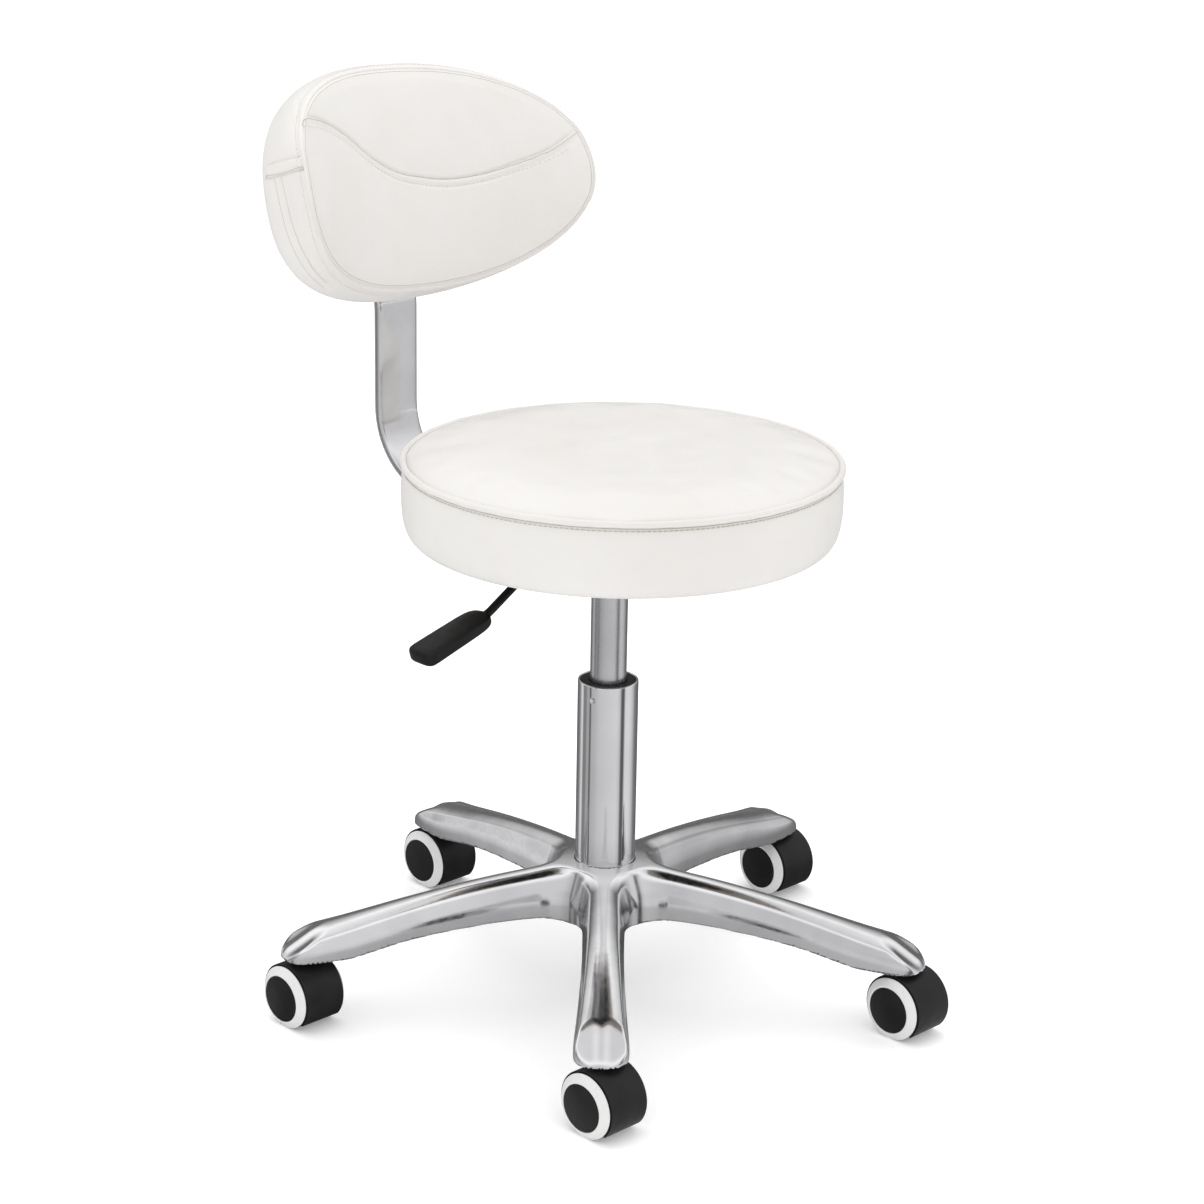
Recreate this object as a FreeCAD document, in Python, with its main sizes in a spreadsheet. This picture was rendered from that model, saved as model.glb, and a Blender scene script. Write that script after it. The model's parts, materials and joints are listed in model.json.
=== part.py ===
"""Pedicure stool: gas-lift seat with a wrap-round back pad on a five-arm base with twin-wheel casters.

Millimetres, +Z up. The origin is on the floor, on the column's axis. The sitter faces -Y, the back pad
is on the +Y side, and the height lever is on the sitter's right, along -X.
"""
import FreeCAD, Part
import math
import os
import re
import Sketcher
from FreeCAD import Placement, Rotation, Vector

DIMS = {
    # casters
    "wheel_radius": 26.5, "wheel_inner": 8.6, "wheel_outer": 19.5, "cap_radius": 19.2, "cap_reach": 25.5,
    "ring_reach": 24.6, "hood_radius": 28.0, "hood_wall": 1.1, "hood_half": 18.8, "web_half": 8.0,
    "hood_clear": 7.0, "hood_drill_top": 60.0, "axle_radius": 3.0, "axle_half": 23.5, "trail": 4.0,
    "stem_radius": 5.0, "stem_top": 68.0, "stem_bottom": 36.0, "stem_flange_radius": 8.5,
    "stem_flange_low": 55.3, "grip_radius": 5.6, "grip_low": 58.5, "grip_high": 65.5, "running": 0.06,
    "overrun": 20.0,        # how far a cutting tool runs past the piece it cuts
    # five-arm base
    "stem_circle": 260.0, "arm_under": 57.0, "hub_radius": 33.0, "hub_low": 60.0,
    "hub_top": 115.5, "hub_relief": 20.0, "stem_bore_top": 69.0,
    # column and gas lift
    "column_radius": 25.0, "column_inner": 23.0, "column_foot_radius": 24.3, "column_foot": 62.0,
    "column_floor": 66.0, "column_top": 273.0, "guide_low": 213.0, "guide_top": 272.4,
    "dimple_height": 261.0, "dimple_radius": 3.0, "rod_radius": 5.0, "rod_foot": 56.0, "rod_head": 245.0,
    "collar_radius": 9.0, "collar_low": 78.1, "collar_high": 81.0, "clip_radius": 8.0, "clip_low": 58.6,
    "clip_high": 60.2, "race_radius": 14.0, "race_inner": 6.5, "race_thick": 3.0, "ball_radius": 3.0,
    "ball_circle": 10.25, "piston_low": 236.0, "piston_high": 243.0,
    "lift_radius": 15.0, "lift_inner": 13.0, "lift_foot": 150.0, "gland_high": 161.0,
    "lift_chamber_top": 343.0, "taper_low": 351.0, "taper_radius": 13.6, "lift_head": 379.0,
    "valve_radius": 3.0, "valve_low": 335.0, "valve_high": 383.6,
    # seat plate, taper socket and lever
    "socket_radius": 20.0, "socket_high": 379.5, "seat_under": 400.0,
    "flange_thick": 3.5, "flange_x": 190.0, "flange_y": 150.0, "flange_corner": 18.0,
    "box_left": -58.0, "box_right": 34.0, "box_half": 23.0, "box_low": 362.0, "sheet_thick": 2.5,
    "pivot_x": -45.0, "pivot_z": 387.5,
    "sleeve_radius": 6.0, "sleeve_half": 19.0, "pin_radius": 3.0, "pin_half": 26.0, "lever_radius": 3.4,
    "bolt_x": 75.0, "bolt_y": 60.0,
    # seat cushion
    "seat_radius": 176.0, "seat_forward": 12.0, "skin": 1.2, "board_radius": 158.0, "board_thick": 12.0,
    "seam_height": 460.0, "seam_drop": 3.6, "seam_rise": 1.6, "seam_depth": 4.2, "rim_round": 8.0,
    "crown_height": 470.0, "skin_return": 148.0, "piping_radius": 2.6, "piping_rise": 0.9,
    # back bar and back pad
    "bar_width": 44.0, "bar_thick": 8.0, "bar_start": 30.0, "bar_back": 268.0, "bar_bend": 58.0,
    "bar_edge": 2.6, "bar_knee": 546.0, "knee_bend": 60.0, "bar_upper": 130.0, "lean": 17.0,
    "pad_height": 638.5,
    "pad_half_width": 160.0, "pad_half_tall": 98.0, "pad_curve": 252.0, "pad_thick": 47.0,
    "pad_board_thick": 10.0, "pad_board_inset": 13.0, "pad_gap": 0.2,
    # fasteners
    "bolt_radius": 4.0, "bolt_head_radius": 6.5, "bolt_head_thick": 4.5, "tee_radius": 9.5,
    "tee_thick": 1.6, "tee_barrel": 5.6,
}
ARMS = 5
ARM_STEP = 360.0 / ARMS
FIRST_ARM = 225.0       # direction of arm 1, degrees from +X
ARM_SLOPES = [          # along an arm: reach, crest height, underside height, half width
    (16.0, 116.0, 62.0, 21.0),
    (60.0, 111.5, 72.0, 18.0),
    (120.0, 104.5, 72.0, 16.8),
    (180.0, 94.0, 66.0, 17.6),
    (222.0, 85.5, 57.8, 19.8),
    (248.0, 79.5, 56.5, 21.8),
    (266.0, 70.5, 56.5, 19.8),
    (276.0, 59.5, 56.5, 14.0),
]
ARM_WALL = 4.0
ARM_FOOT = 190.0        # from this reach outward the arm's underside is flat
ARM_HOLLOW = (38.0, 234.0)      # the underside is hollow between these reaches
DIMPLE_TURNS = (195.0, 315.0, 75.0)
BALLS = 10
LEVER_PATH = [Vector(8, 0, 387.4), Vector(-46, 0, 387.4), Vector(-104, 0, 377.5), Vector(-134, 0, 359.5),
              Vector(-166, 0, 350.5)]
LEVER_BEND = 24.0
GRIP_LENGTH = 73.0
GRIP_WIDTH = 27.0
GRIP_THICK = 13.0
GRIP_CORNER = 6.0
GRIP_EDGE = 4.5
GRIP_OVERLAP = 30.0     # length of rod inside the grip
BAR_BOLTS_Y = (42.0, 64.0)
PAD_BOLTS = (-62.0, 12.0)       # heights up the pad's back, from its middle
PAD_SQUARENESS = 2.3            # exponent of the pad's outline: 2 is an ellipse, more is squarer
PAD_TAPER = 0.08                # how much narrower the pad's top is than its middle
PAD_POINTS = 40
PAD_REACH = 300.0               # half size of the blanks that the pad's layers are cut from
TEE_ROOM = 0.8                  # foam kept clear in front of the pad's tee nuts

doc = FreeCAD.newDocument("pedicure_stool")
sheet = doc.addObject("Spreadsheet::Sheet", "dims")
for row, (alias, size) in enumerate(DIMS.items(), start=1):
    sheet.set(f"A{row}", alias)
    sheet.set(f"B{row}", str(size))
    sheet.setAlias(f"B{row}", alias)
doc.recompute()
subparts = []


def formula(text):
    """An expression with each sheet alias given its sheet's name."""
    return re.sub(r"[a-z_]+", lambda word: f"dims.{word[0]}" if word[0] in DIMS else word[0], text)


def size_of(alias):
    return float(sheet.get(alias))


def keep(piece, label):
    """Name a finished sub-part and list it for writing."""
    piece.Label = label
    subparts.append(piece)
    return piece


def origin_plane(body, role):
    return next(plane for plane in body.Origin.OriginFeatures if plane.Role == role)


def outline(body, role, corners):
    """A closed, fully constrained polygon on one of the body's own planes, from pairs of formulas."""
    sketch = body.newObject("Sketcher::SketchObject", body.Name + "_outline")
    sketch.AttachmentSupport = [(origin_plane(body, role), "")]
    sketch.MapMode = "FlatFace"
    spots = [Vector(measured(across), measured(up), 0) for across, up in corners]
    for start, end in zip(spots, spots[1:] + spots[:1]):
        sketch.addGeometry(Part.LineSegment(start, end))
    for edge in range(len(spots)):
        following = (edge + 1) % len(spots)
        sketch.addConstraint(Sketcher.Constraint("Coincident", edge, 2, following, 1))
    for edge, (spot, pair) in enumerate(zip(spots, corners)):
        place_coordinate(sketch, "DistanceX", edge, spot.x, pair[0])
        place_coordinate(sketch, "DistanceY", edge, spot.y, pair[1])
    return sketch


def place_coordinate(sketch, direction, edge, distance, text):
    if abs(distance) < 1e-9:
        axis = -2 if direction == "DistanceX" else -1
        sketch.addConstraint(Sketcher.Constraint("PointOnObject", edge, 1, axis))
        return
    index = sketch.addConstraint(Sketcher.Constraint(direction, -1, 1, edge, 1, distance))
    sketch.setExpression(f"Constraints[{index}]", formula(text))


def measured(text):
    """The number that a formula gives with the sheet's present sizes."""
    return float(sheet.evalExpression(formula(text)))


def turned(name, corners, place=None):
    """A body turned about its own Z axis from (radius, height) corners."""
    body = doc.addObject("PartDesign::Body", name)
    turn = body.newObject("PartDesign::Revolution", name + "_turn")
    turn.Profile = outline(body, "XZ_Plane", corners)
    turn.ReferenceAxis = (turn.Profile[0], ["V_Axis"])
    turn.Angle = 360
    if place is not None:
        body.Placement = place
    return body


def extruded(name, role, corners, width):
    """A body whose side outline is padded equally to both sides of one of its planes."""
    body = doc.addObject("PartDesign::Body", name)
    pad = body.newObject("PartDesign::Pad", name + "_pad")
    pad.Profile = outline(body, role, corners)
    pad.SideType = "Symmetric"
    pad.setExpression("Length", formula(width))
    return body


def rounded(body, radius, wanted):
    """Round the edges of the body that `wanted` picks."""
    doc.recompute()
    base = body.Tip
    names = [f"Edge{number}" for number, edge in enumerate(base.Shape.Edges, start=1) if wanted(edge)]
    fillet = body.newObject("PartDesign::Fillet", body.Name + "_round")
    fillet.Base = (base, names)
    fillet.setExpression("Radius", formula(radius))
    body.Tip = fillet


def primitive(kind, name, sizes, place=None):
    piece = doc.addObject(kind, name)
    for prop, text in sizes.items():
        piece.setExpression(prop, formula(text))
    if place is not None:
        piece.Placement = place
    return piece


def rod(name, radius, height, place):
    return primitive("Part::Cylinder", name, {"Radius": radius, "Height": height}, place)


def joined(name, pieces):
    fuse = doc.addObject("Part::MultiFuse", name)
    fuse.Shapes = pieces
    return fuse


def less(name, base, tools):
    cut = doc.addObject("Part::Cut", name)
    cut.Base = base
    cut.Tool = tools[0] if len(tools) == 1 else joined(name + "_tools", tools)
    return cut


def shaped(label, shape, place=None):
    """A sub-part whose shape is made in code."""
    piece = doc.addObject("Part::Feature", label)
    piece.Shape = shape
    if place is not None:
        piece.Placement = place
    return keep(piece, label)


def group(label, pieces):
    """Several separate, identical solids kept in one node."""
    bundle = doc.addObject("Part::Compound", label)
    bundle.Links = pieces
    return keep(bundle, label)


def around(radius, turn, height):
    angle = math.radians(turn)
    return Vector(radius * math.cos(angle), radius * math.sin(angle), height)


# ---------------------------------------------------------------- five-arm base
def arm_section(reach, crest, under, half, inset=0.0):
    """Cross-section of an arm: straight flanks that lean in, under a rounded crest."""
    shoulder = crest - 0.45 * (crest - under)
    wide = half - inset
    low = under if inset == 0.0 else under - 12.0
    corners = [Vector(reach, -wide, low), Vector(reach, -0.78 * wide, shoulder - 0.4 * inset),
               Vector(reach, 0.78 * wide, shoulder - 0.4 * inset), Vector(reach, wide, low)]
    top = Vector(reach, 0, crest - inset)
    return Part.Wire([
        Part.makeLine(corners[0], corners[1]),
        Part.Arc(corners[1], top, corners[2]).toShape(),
        Part.makeLine(corners[2], corners[3]),
        Part.makeLine(corners[3], corners[0]),
    ])


def arm_shape():
    """One arm along +X with its hollow underside and the boss for a caster stem."""
    solid = Part.makeLoft([arm_section(*slope) for slope in ARM_SLOPES], True)
    inside = [slope for slope in ARM_SLOPES if ARM_HOLLOW[0] < slope[0] < ARM_HOLLOW[1]]
    ends = [(ARM_HOLLOW[0],) + inside[0][1:], (ARM_HOLLOW[1],) + inside[-1][1:]]
    hollow = Part.makeLoft([arm_section(*slope, inset=ARM_WALL) for slope in [ends[0]] + inside + [ends[1]]],
                           True)
    past = size_of("overrun")
    under = Part.makeBox(size_of("stem_circle") - ARM_FOOT + 2 * past, 4 * past, past,
                         Vector(ARM_FOOT, -2 * past, size_of("arm_under") - past))
    low = size_of("arm_under") - past
    bore = Part.makeCylinder(size_of("grip_radius"), size_of("stem_bore_top") - low,
                             Vector(size_of("stem_circle"), 0, low))
    return solid.cut(hollow).cut(under), bore


def make_base():
    arm, bore = arm_shape()
    arms = []
    bores = []
    for number in range(ARMS):
        turn = FIRST_ARM + ARM_STEP * number
        for shape, kept in ((arm, arms), (bore, bores)):
            copy = shape.copy()
            copy.rotate(Vector(0, 0, 0), Vector(0, 0, 1), turn)
            kept.append(copy)
    low, top = size_of("hub_low"), size_of("hub_top")
    hub = Part.makeCylinder(size_of("hub_radius"), top - low, Vector(0, 0, low))
    socket = Part.makeCone(size_of("column_foot_radius"), size_of("column_radius"),
                           top - size_of("column_foot"), Vector(0, 0, size_of("column_foot")))
    past = size_of("overrun")
    relief = Part.makeCylinder(size_of("hub_relief"), 2 * past, Vector(0, 0, low - past))
    clear = Part.makeCylinder(size_of("column_radius"), 2 * past, Vector(0, 0, top))
    star = hub.multiFuse(arms).cut(socket).cut(relief).cut(clear)
    for hole in bores:
        star = star.cut(hole)
    shaped("star_base", star.removeSplitter())


def make_column():
    tube = turned("column_shell", [
        ("rod_radius + running", "column_foot"), ("column_foot_radius", "column_foot"),
        ("column_radius", "hub_top"), ("column_radius", "column_top - 1"),
        ("column_radius - 1", "column_top"), ("column_inner", "column_top"),
        ("column_inner", "column_floor"), ("rod_radius + running", "column_floor")])
    dimples = []
    for number, turn in enumerate(DIMPLE_TURNS, start=1):
        spot = around(size_of("column_radius") + 2.0, turn, size_of("dimple_height"))
        dimples.append(primitive("Part::Sphere", f"dimple_{number}", {"Radius": "dimple_radius"},
                                 Placement(spot, Rotation())))
    keep(less("column_tube", tube, dimples), "column_tube")
    keep(turned("column_guide", [
        ("lift_radius + running", "guide_low"), ("column_inner", "guide_low"),
        ("column_inner", "guide_top"), ("lift_radius + running", "guide_top")]), "column_guide")
    make_thrust_bearing()


def make_thrust_bearing():
    races = []
    heights = ("column_floor", "column_floor + race_thick + 2 * ball_radius")
    for number, height in enumerate(heights, start=1):
        races.append(turned(f"race_{number}", [
            ("race_inner", height), ("race_radius", height),
            ("race_radius", height + " + race_thick"), ("race_inner", height + " + race_thick")]))
    middle = measured("column_floor + race_thick + ball_radius")
    balls = []
    for number in range(BALLS):
        spot = around(size_of("ball_circle"), 360.0 / BALLS * number, middle)
        balls.append(primitive("Part::Sphere", f"ball_{number + 1}", {"Radius": "ball_radius - 0.02"},
                               Placement(spot, Rotation())))
    group("thrust_bearing", races + balls)


# ---------------------------------------------------------------- casters
def make_stems():
    stems = []
    rings = []
    for number in range(ARMS):
        place = Placement(around(size_of("stem_circle"), FIRST_ARM + ARM_STEP * number, 0), Rotation())
        stems.append(turned(f"stem_{number + 1}", [
            ("0", "stem_bottom"), ("stem_radius", "stem_bottom"), ("stem_radius", "stem_flange_low"),
            ("stem_flange_radius", "stem_flange_low"), ("stem_flange_radius", "arm_under"),
            ("stem_radius", "arm_under"), ("stem_radius", "stem_top"), ("0", "stem_top")], place))
        rings.append(turned(f"grip_ring_{number + 1}", [
            ("stem_radius", "grip_low"), ("grip_radius", "grip_low"),
            ("grip_radius", "grip_high"), ("stem_radius", "grip_high")], place))
    group("caster_stems", stems)
    group("caster_grip_rings", rings)


def across(centre, shift=0.0):
    """Placement that lays a turned piece's Z axis along +X through the axle's centre."""
    return Placement(centre + Vector(shift, 0, 0), Rotation(Vector(0, 1, 0), 90))


def make_caster(number):
    stem = around(size_of("stem_circle"), FIRST_ARM + ARM_STEP * (number - 1), 0)
    centre = stem + Vector(0, -size_of("trail"), size_of("wheel_radius"))
    half = size_of("hood_half")
    web = size_of("web_half")
    drum = rod(f"drum_{number}", "hood_radius", "2 * hood_half", across(centre, -half))
    wells = [rod(f"well_{number}_{side}", "hood_radius - hood_wall", "hood_half - web_half + 1",
                 across(centre, shift))
             for side, shift in (("left", -half - 1.0), ("right", web))]
    span = 2 * size_of("hood_radius")
    past = size_of("overrun")
    floor_cut = primitive("Part::Box", f"floor_cut_{number}", {
        "Length": "4 * hood_radius", "Width": "4 * hood_radius", "Height": "hood_clear + overrun"},
        Placement(Vector(centre.x - span, centre.y - span, -past), Rotation()))
    socket = rod(f"socket_{number}", "stem_radius + running", "hood_drill_top - stem_bottom + 1",
                 Placement(stem + Vector(0, 0, size_of("stem_bottom") - 1), Rotation()))
    axle_hole = rod(f"axle_hole_{number}", "axle_radius", "2 * web_half + 2", across(centre, -web - 1))
    hood = less(f"hood_{number}", drum, wells + [floor_cut, socket, axle_hole])
    keep(hood, f"hood_{number}")
    axle = rod(f"axle_rod_{number}", "axle_radius", "2 * axle_half", across(centre, -size_of("axle_half")))
    keep(axle, f"axle_{number}")
    for side, sign in (("left", -1), ("right", 1)):
        place = Placement(centre, Rotation(Vector(0, 1, 0), 90 * sign))
        keep(turned(f"wheel_{number}_{side}", [
            ("axle_radius + running", "wheel_inner"), ("wheel_radius - 0.8", "wheel_inner"),
            ("wheel_radius", "wheel_inner + 0.8"), ("wheel_radius", "wheel_outer"),
            ("cap_radius", "wheel_outer"), ("cap_radius", "cap_reach - 0.7"),
            ("cap_radius - 1.2", "cap_reach - 0.2"), ("0", "cap_reach"),
            ("0", "axle_half + 0.3"), ("axle_radius + running", "axle_half + 0.3")], place),
            f"wheel_{number}_{side}")
        keep(turned(f"ring_{number}_{side}", [
            ("cap_radius", "wheel_outer"), ("wheel_radius", "wheel_outer"),
            ("wheel_radius - 0.6", "wheel_outer + 1.2"), ("cap_radius + 1", "ring_reach"),
            ("cap_radius", "ring_reach")], place), f"ring_{number}_{side}")


# ---------------------------------------------------------------- gas lift
def make_lift():
    keep(turned("piston_rod", [
        ("0", "rod_foot"), ("rod_radius", "rod_foot"), ("rod_radius", "collar_low"),
        ("collar_radius", "collar_low"), ("collar_radius", "collar_high"), ("rod_radius", "collar_high"),
        ("rod_radius", "rod_head"), ("0", "rod_head")]), "piston_rod")
    keep(turned("piston", [
        ("rod_radius", "piston_low"), ("lift_inner - running", "piston_low"),
        ("lift_inner - running", "piston_high"), ("rod_radius", "piston_high")]), "piston")
    keep(turned("rod_clip", [
        ("rod_radius", "clip_low"), ("clip_radius", "clip_low"),
        ("clip_radius", "clip_high"), ("rod_radius", "clip_high")]), "rod_clip")
    keep(turned("gas_cylinder", [
        ("lift_inner", "lift_foot"), ("lift_radius", "lift_foot"), ("lift_radius", "taper_low"),
        ("taper_radius", "lift_head"), ("valve_radius + running", "lift_head"),
        ("valve_radius + running", "lift_chamber_top"), ("lift_inner", "lift_chamber_top")]), "gas_cylinder")
    keep(turned("cylinder_gland", [
        ("rod_radius + running", "lift_foot"), ("lift_inner", "lift_foot"),
        ("lift_inner", "gland_high"), ("rod_radius + running", "gland_high")]), "cylinder_gland")
    keep(turned("valve_pin", [
        ("0", "valve_low"), ("valve_radius", "valve_low"), ("valve_radius", "valve_high"),
        ("0", "valve_high")]), "valve_pin")


# ---------------------------------------------------------------- seat plate and lever
def make_seat_plate():
    top = size_of("seat_under")
    thick = size_of("flange_thick")
    flange = primitive("Part::Box", "flange_blank", {
        "Length": "flange_x", "Width": "flange_y", "Height": "flange_thick"},
        Placement(Vector(-size_of("flange_x") / 2, -size_of("flange_y") / 2, top - thick), Rotation()))
    rounded_flange = doc.addObject("Part::Fillet", "flange_rounded")
    rounded_flange.Base = flange
    doc.recompute()
    upright = [number for number, edge in enumerate(flange.Shape.Edges, start=1)
               if abs(edge.tangentAt(edge.FirstParameter).z) > 0.9]
    corner = size_of("flange_corner")
    rounded_flange.Edges = [(number, corner, corner) for number in upright]
    low = size_of("box_low")
    left = size_of("box_left")
    half = size_of("box_half")
    sheet_thick = size_of("sheet_thick")
    shell = primitive("Part::Box", "box_blank", {
        "Length": "box_right - box_left", "Width": "2 * box_half",
        "Height": "seat_under - flange_thick - box_low"},
        Placement(Vector(left, -half, low), Rotation()))
    inside = primitive("Part::Box", "box_inside", {
        "Length": "box_right - box_left", "Width": "2 * (box_half - sheet_thick)",
        "Height": "seat_under - box_low"},
        Placement(Vector(left - sheet_thick, -half + sheet_thick, low + sheet_thick), Rotation()))
    pin_end = Vector(size_of("pivot_x"), 2 * size_of("overrun"), size_of("pivot_z"))
    holes = [inside,
             rod("socket_hole", "socket_radius", "overrun", Placement(Vector(0, 0, low - 5), Rotation())),
             rod("pin_hole", "pin_radius", "4 * overrun", Placement(pin_end, Rotation(Vector(1, 0, 0), 90)))]
    for number, (spot_x, spot_y) in enumerate(seat_bolt_spots() + bar_bolt_spots(), start=1):
        holes.append(rod(f"plate_hole_{number}", "bolt_radius", "overrun",
                         Placement(Vector(spot_x, spot_y, top - 15), Rotation())))
    plate = joined("plate_blank", [rounded_flange, shell])
    keep(less("seat_plate", plate, holes), "seat_plate")
    keep(turned("taper_socket", [
        ("lift_radius", "taper_low"), ("socket_radius", "taper_low"),
        ("socket_radius", "socket_high"), ("taper_radius", "socket_high"), ("taper_radius", "lift_head")]),
        "taper_socket")
    keep(rod("lever_pin", "pin_radius", "2 * pin_half",
             Placement(Vector(size_of("pivot_x"), size_of("pin_half"), size_of("pivot_z")),
                       Rotation(Vector(1, 0, 0), 90))), "lever_pin")


def seat_bolt_spots():
    return [(sx * size_of("bolt_x"), sy * size_of("bolt_y")) for sx in (-1, 1) for sy in (-1, 1)]


def bar_bolt_spots():
    return [(0.0, spot_y) for spot_y in BAR_BOLTS_Y]


def bent_path(points, bend):
    """Straight runs joined by tangent arcs of one radius."""
    edges = []
    start = points[0]
    for before, corner, after in zip(points, points[1:], points[2:]):
        back = (before - corner).normalize()
        ahead = (after - corner).normalize()
        half_turn = (math.pi - back.getAngle(ahead)) / 2
        reach = bend * math.tan(half_turn)
        entry = corner + back * reach
        leave = corner + ahead * reach
        middle = corner + (back + ahead).normalize() * (bend / math.cos(half_turn) - bend)
        edges.append(Part.makeLine(start, entry))
        edges.append(Part.Arc(entry, middle, leave).toShape())
        start = leave
    edges.append(Part.makeLine(start, points[-1]))
    return Part.Wire(edges)


def make_lever():
    path = bent_path(LEVER_PATH, LEVER_BEND)
    ring = Part.Wire(Part.makeCircle(size_of("lever_radius"), LEVER_PATH[0], Vector(-1, 0, 0)))
    bar = path.makePipeShell([ring], True, False)
    pivot = Vector(size_of("pivot_x"), -size_of("sleeve_half"), size_of("pivot_z"))
    length = 2 * size_of("sleeve_half")
    sleeve = Part.makeCylinder(size_of("sleeve_radius"), length, pivot, Vector(0, 1, 0))
    bore = Part.makeCylinder(size_of("pin_radius") + size_of("running"), length, pivot, Vector(0, 1, 0))
    shaped("lever_rod", bar.fuse(sleeve).cut(bore).removeSplitter())
    make_grip()


def make_grip():
    """Flat moulded paddle pushed onto the end of the rod."""
    end = LEVER_PATH[-1]
    corner = Vector(-GRIP_LENGTH / 2, -GRIP_WIDTH / 2, -GRIP_THICK / 2)
    blank = Part.makeBox(GRIP_LENGTH, GRIP_WIDTH, GRIP_THICK, corner)
    upright = [edge for edge in blank.Edges if abs(edge.tangentAt(edge.FirstParameter).z) > 0.9]
    paddle = blank.makeFillet(GRIP_CORNER, upright)
    paddle = paddle.makeFillet(GRIP_EDGE, [edge for edge in paddle.Edges if is_rim(edge)])
    direction = (end - LEVER_PATH[-2]).normalize()
    middle = end + direction * (GRIP_LENGTH / 2 - GRIP_OVERLAP)
    paddle.Placement = Placement(middle, Rotation(Vector(-1, 0, 0), direction))
    depth = GRIP_OVERLAP + 5
    hole = Part.makeCylinder(size_of("lever_radius"), depth, end - direction * depth, direction)
    shaped("lever_grip", paddle.cut(hole))


def is_rim(edge):
    """True for the edges round the paddle's top and bottom faces."""
    ends = [vertex.Point.z for vertex in edge.Vertexes]
    return len(ends) == 2 and abs(ends[0] - ends[1]) < 1e-6 and abs(abs(ends[0]) - GRIP_THICK / 2) < 1e-6


# ---------------------------------------------------------------- seat cushion
def seat_place(height):
    """The cushion's middle stands a little forward of the column."""
    return Placement(Vector(0, -size_of("seat_forward"), height), Rotation())


def cushion(name, inset):
    """The whole cushion's outline, turned, with its edge cut back where the piping lies."""
    body = turned(name, [
        ("0", f"seat_under - {inset}"), (f"seat_radius - skin + {inset}", f"seat_under - {inset}"),
        (f"seat_radius - skin + {inset}", "seam_height - seam_drop"),
        (f"seat_radius - skin + {inset} - seam_depth", f"seam_height + seam_rise - skin + {inset}"),
        ("0", f"crown_height - skin + {inset}")], seat_place(0))
    rounded(body, f"rim_round - skin + {inset}", lambda edge: on_rim(edge, f"seat_radius - skin + {inset}",
                                                                    f"seat_under - {inset}"))
    return body


def seat_fixings(name, radius, height, base):
    """Drills at the seat's six fixings."""
    return [rod(f"{name}_{number}", radius, height, Placement(Vector(spot_x, spot_y, base), Rotation()))
            for number, (spot_x, spot_y) in enumerate(seat_bolt_spots() + bar_bolt_spots(), start=1)]


def make_seat():
    under = size_of("seat_under")
    board_top = measured("seat_under + board_thick")
    board = rod("board_blank", "board_radius", "board_thick", seat_place(under))
    keep(less("seat_board", board, seat_fixings("board_hole", "tee_barrel", "board_thick + 2", under - 1)),
         "seat_board")
    room = rod("board_room", "board_radius", "board_thick + 1", seat_place(under - 1))
    relief = seat_fixings("tee_relief", "tee_radius", "tee_thick + 1", board_top - 1)
    keep(less("seat_foam", cushion("foam_blank", "0"), [room] + relief), "seat_foam")
    window = rod("cover_window", "skin_return", "3", seat_place(under - 2.5))
    hollows = [cushion("cover_inside", "0"), window]
    keep(less("seat_cover", cushion("cover_outside", "skin"), hollows), "seat_cover")
    piping = {"Radius1": "seat_radius + 0.2", "Radius2": "piping_radius"}
    place = seat_place(measured("seam_height + piping_rise"))
    keep(primitive("Part::Torus", "seat_piping", piping, place), "seat_piping")


def on_rim(edge, radius, height):
    curve = edge.Curve
    if not isinstance(curve, Part.Circle):
        return False
    return abs(curve.Radius - measured(radius)) < 1e-3 and abs(curve.Center.z - measured(height)) < 1e-3


# ---------------------------------------------------------------- back bar and back pad
def make_back_bar():
    low = "seat_under - flange_thick - bar_thick"
    high = "seat_under - flange_thick"
    front = "bar_back - bar_thick"
    back_knee = "bar_knee - bar_thick * tan(lean / 2)"
    bar = extruded("back_bar", "YZ_Plane", [
        ("bar_start", low), ("bar_back", low), ("bar_back", back_knee),
        ("bar_back + bar_upper * sin(lean)", f"{back_knee} + bar_upper * cos(lean)"),
        ("bar_back + bar_upper * sin(lean) - bar_thick * cos(lean)",
         f"{back_knee} + bar_upper * cos(lean) + bar_thick * sin(lean)"),
        (front, "bar_knee"), (front, high), ("bar_start", high)], "bar_width")
    rounded(bar, "bar_bend + bar_thick", lambda edge: corner_at(edge, "bar_back", low))
    rounded(bar, "bar_bend", lambda edge: corner_at(edge, front, high))
    rounded(bar, "knee_bend", lambda edge: corner_at(edge, "bar_back", back_knee))
    rounded(bar, "knee_bend + bar_thick", lambda edge: corner_at(edge, front, "bar_knee"))
    rounded(bar, "bar_edge", lies_along_side)
    holes = []
    for number, (spot_x, spot_y) in enumerate(bar_bolt_spots(), start=1):
        holes.append(rod(f"bar_hole_{number}", "bolt_radius", "2 * overrun",
                         Placement(Vector(spot_x, spot_y, measured(low) - 10), Rotation())))
    for number, height in enumerate(PAD_BOLTS, start=1):
        holes.append(rod(f"bar_pad_hole_{number}", "bolt_radius", "2 * overrun",
                         pad_hole_place(height, size_of("overrun"))))
    bar.Label = "back_bar_blank"
    keep(less("back_bar_drilled", bar, holes), "back_bar")


def corner_at(edge, across_text, up_text):
    ends = [vertex.Point for vertex in edge.Vertexes]
    if len(ends) != 2 or abs(ends[0].x - ends[1].x) < 1:
        return False
    return abs(ends[0].y - measured(across_text)) < 1e-3 and abs(ends[0].z - measured(up_text)) < 1e-3


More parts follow.
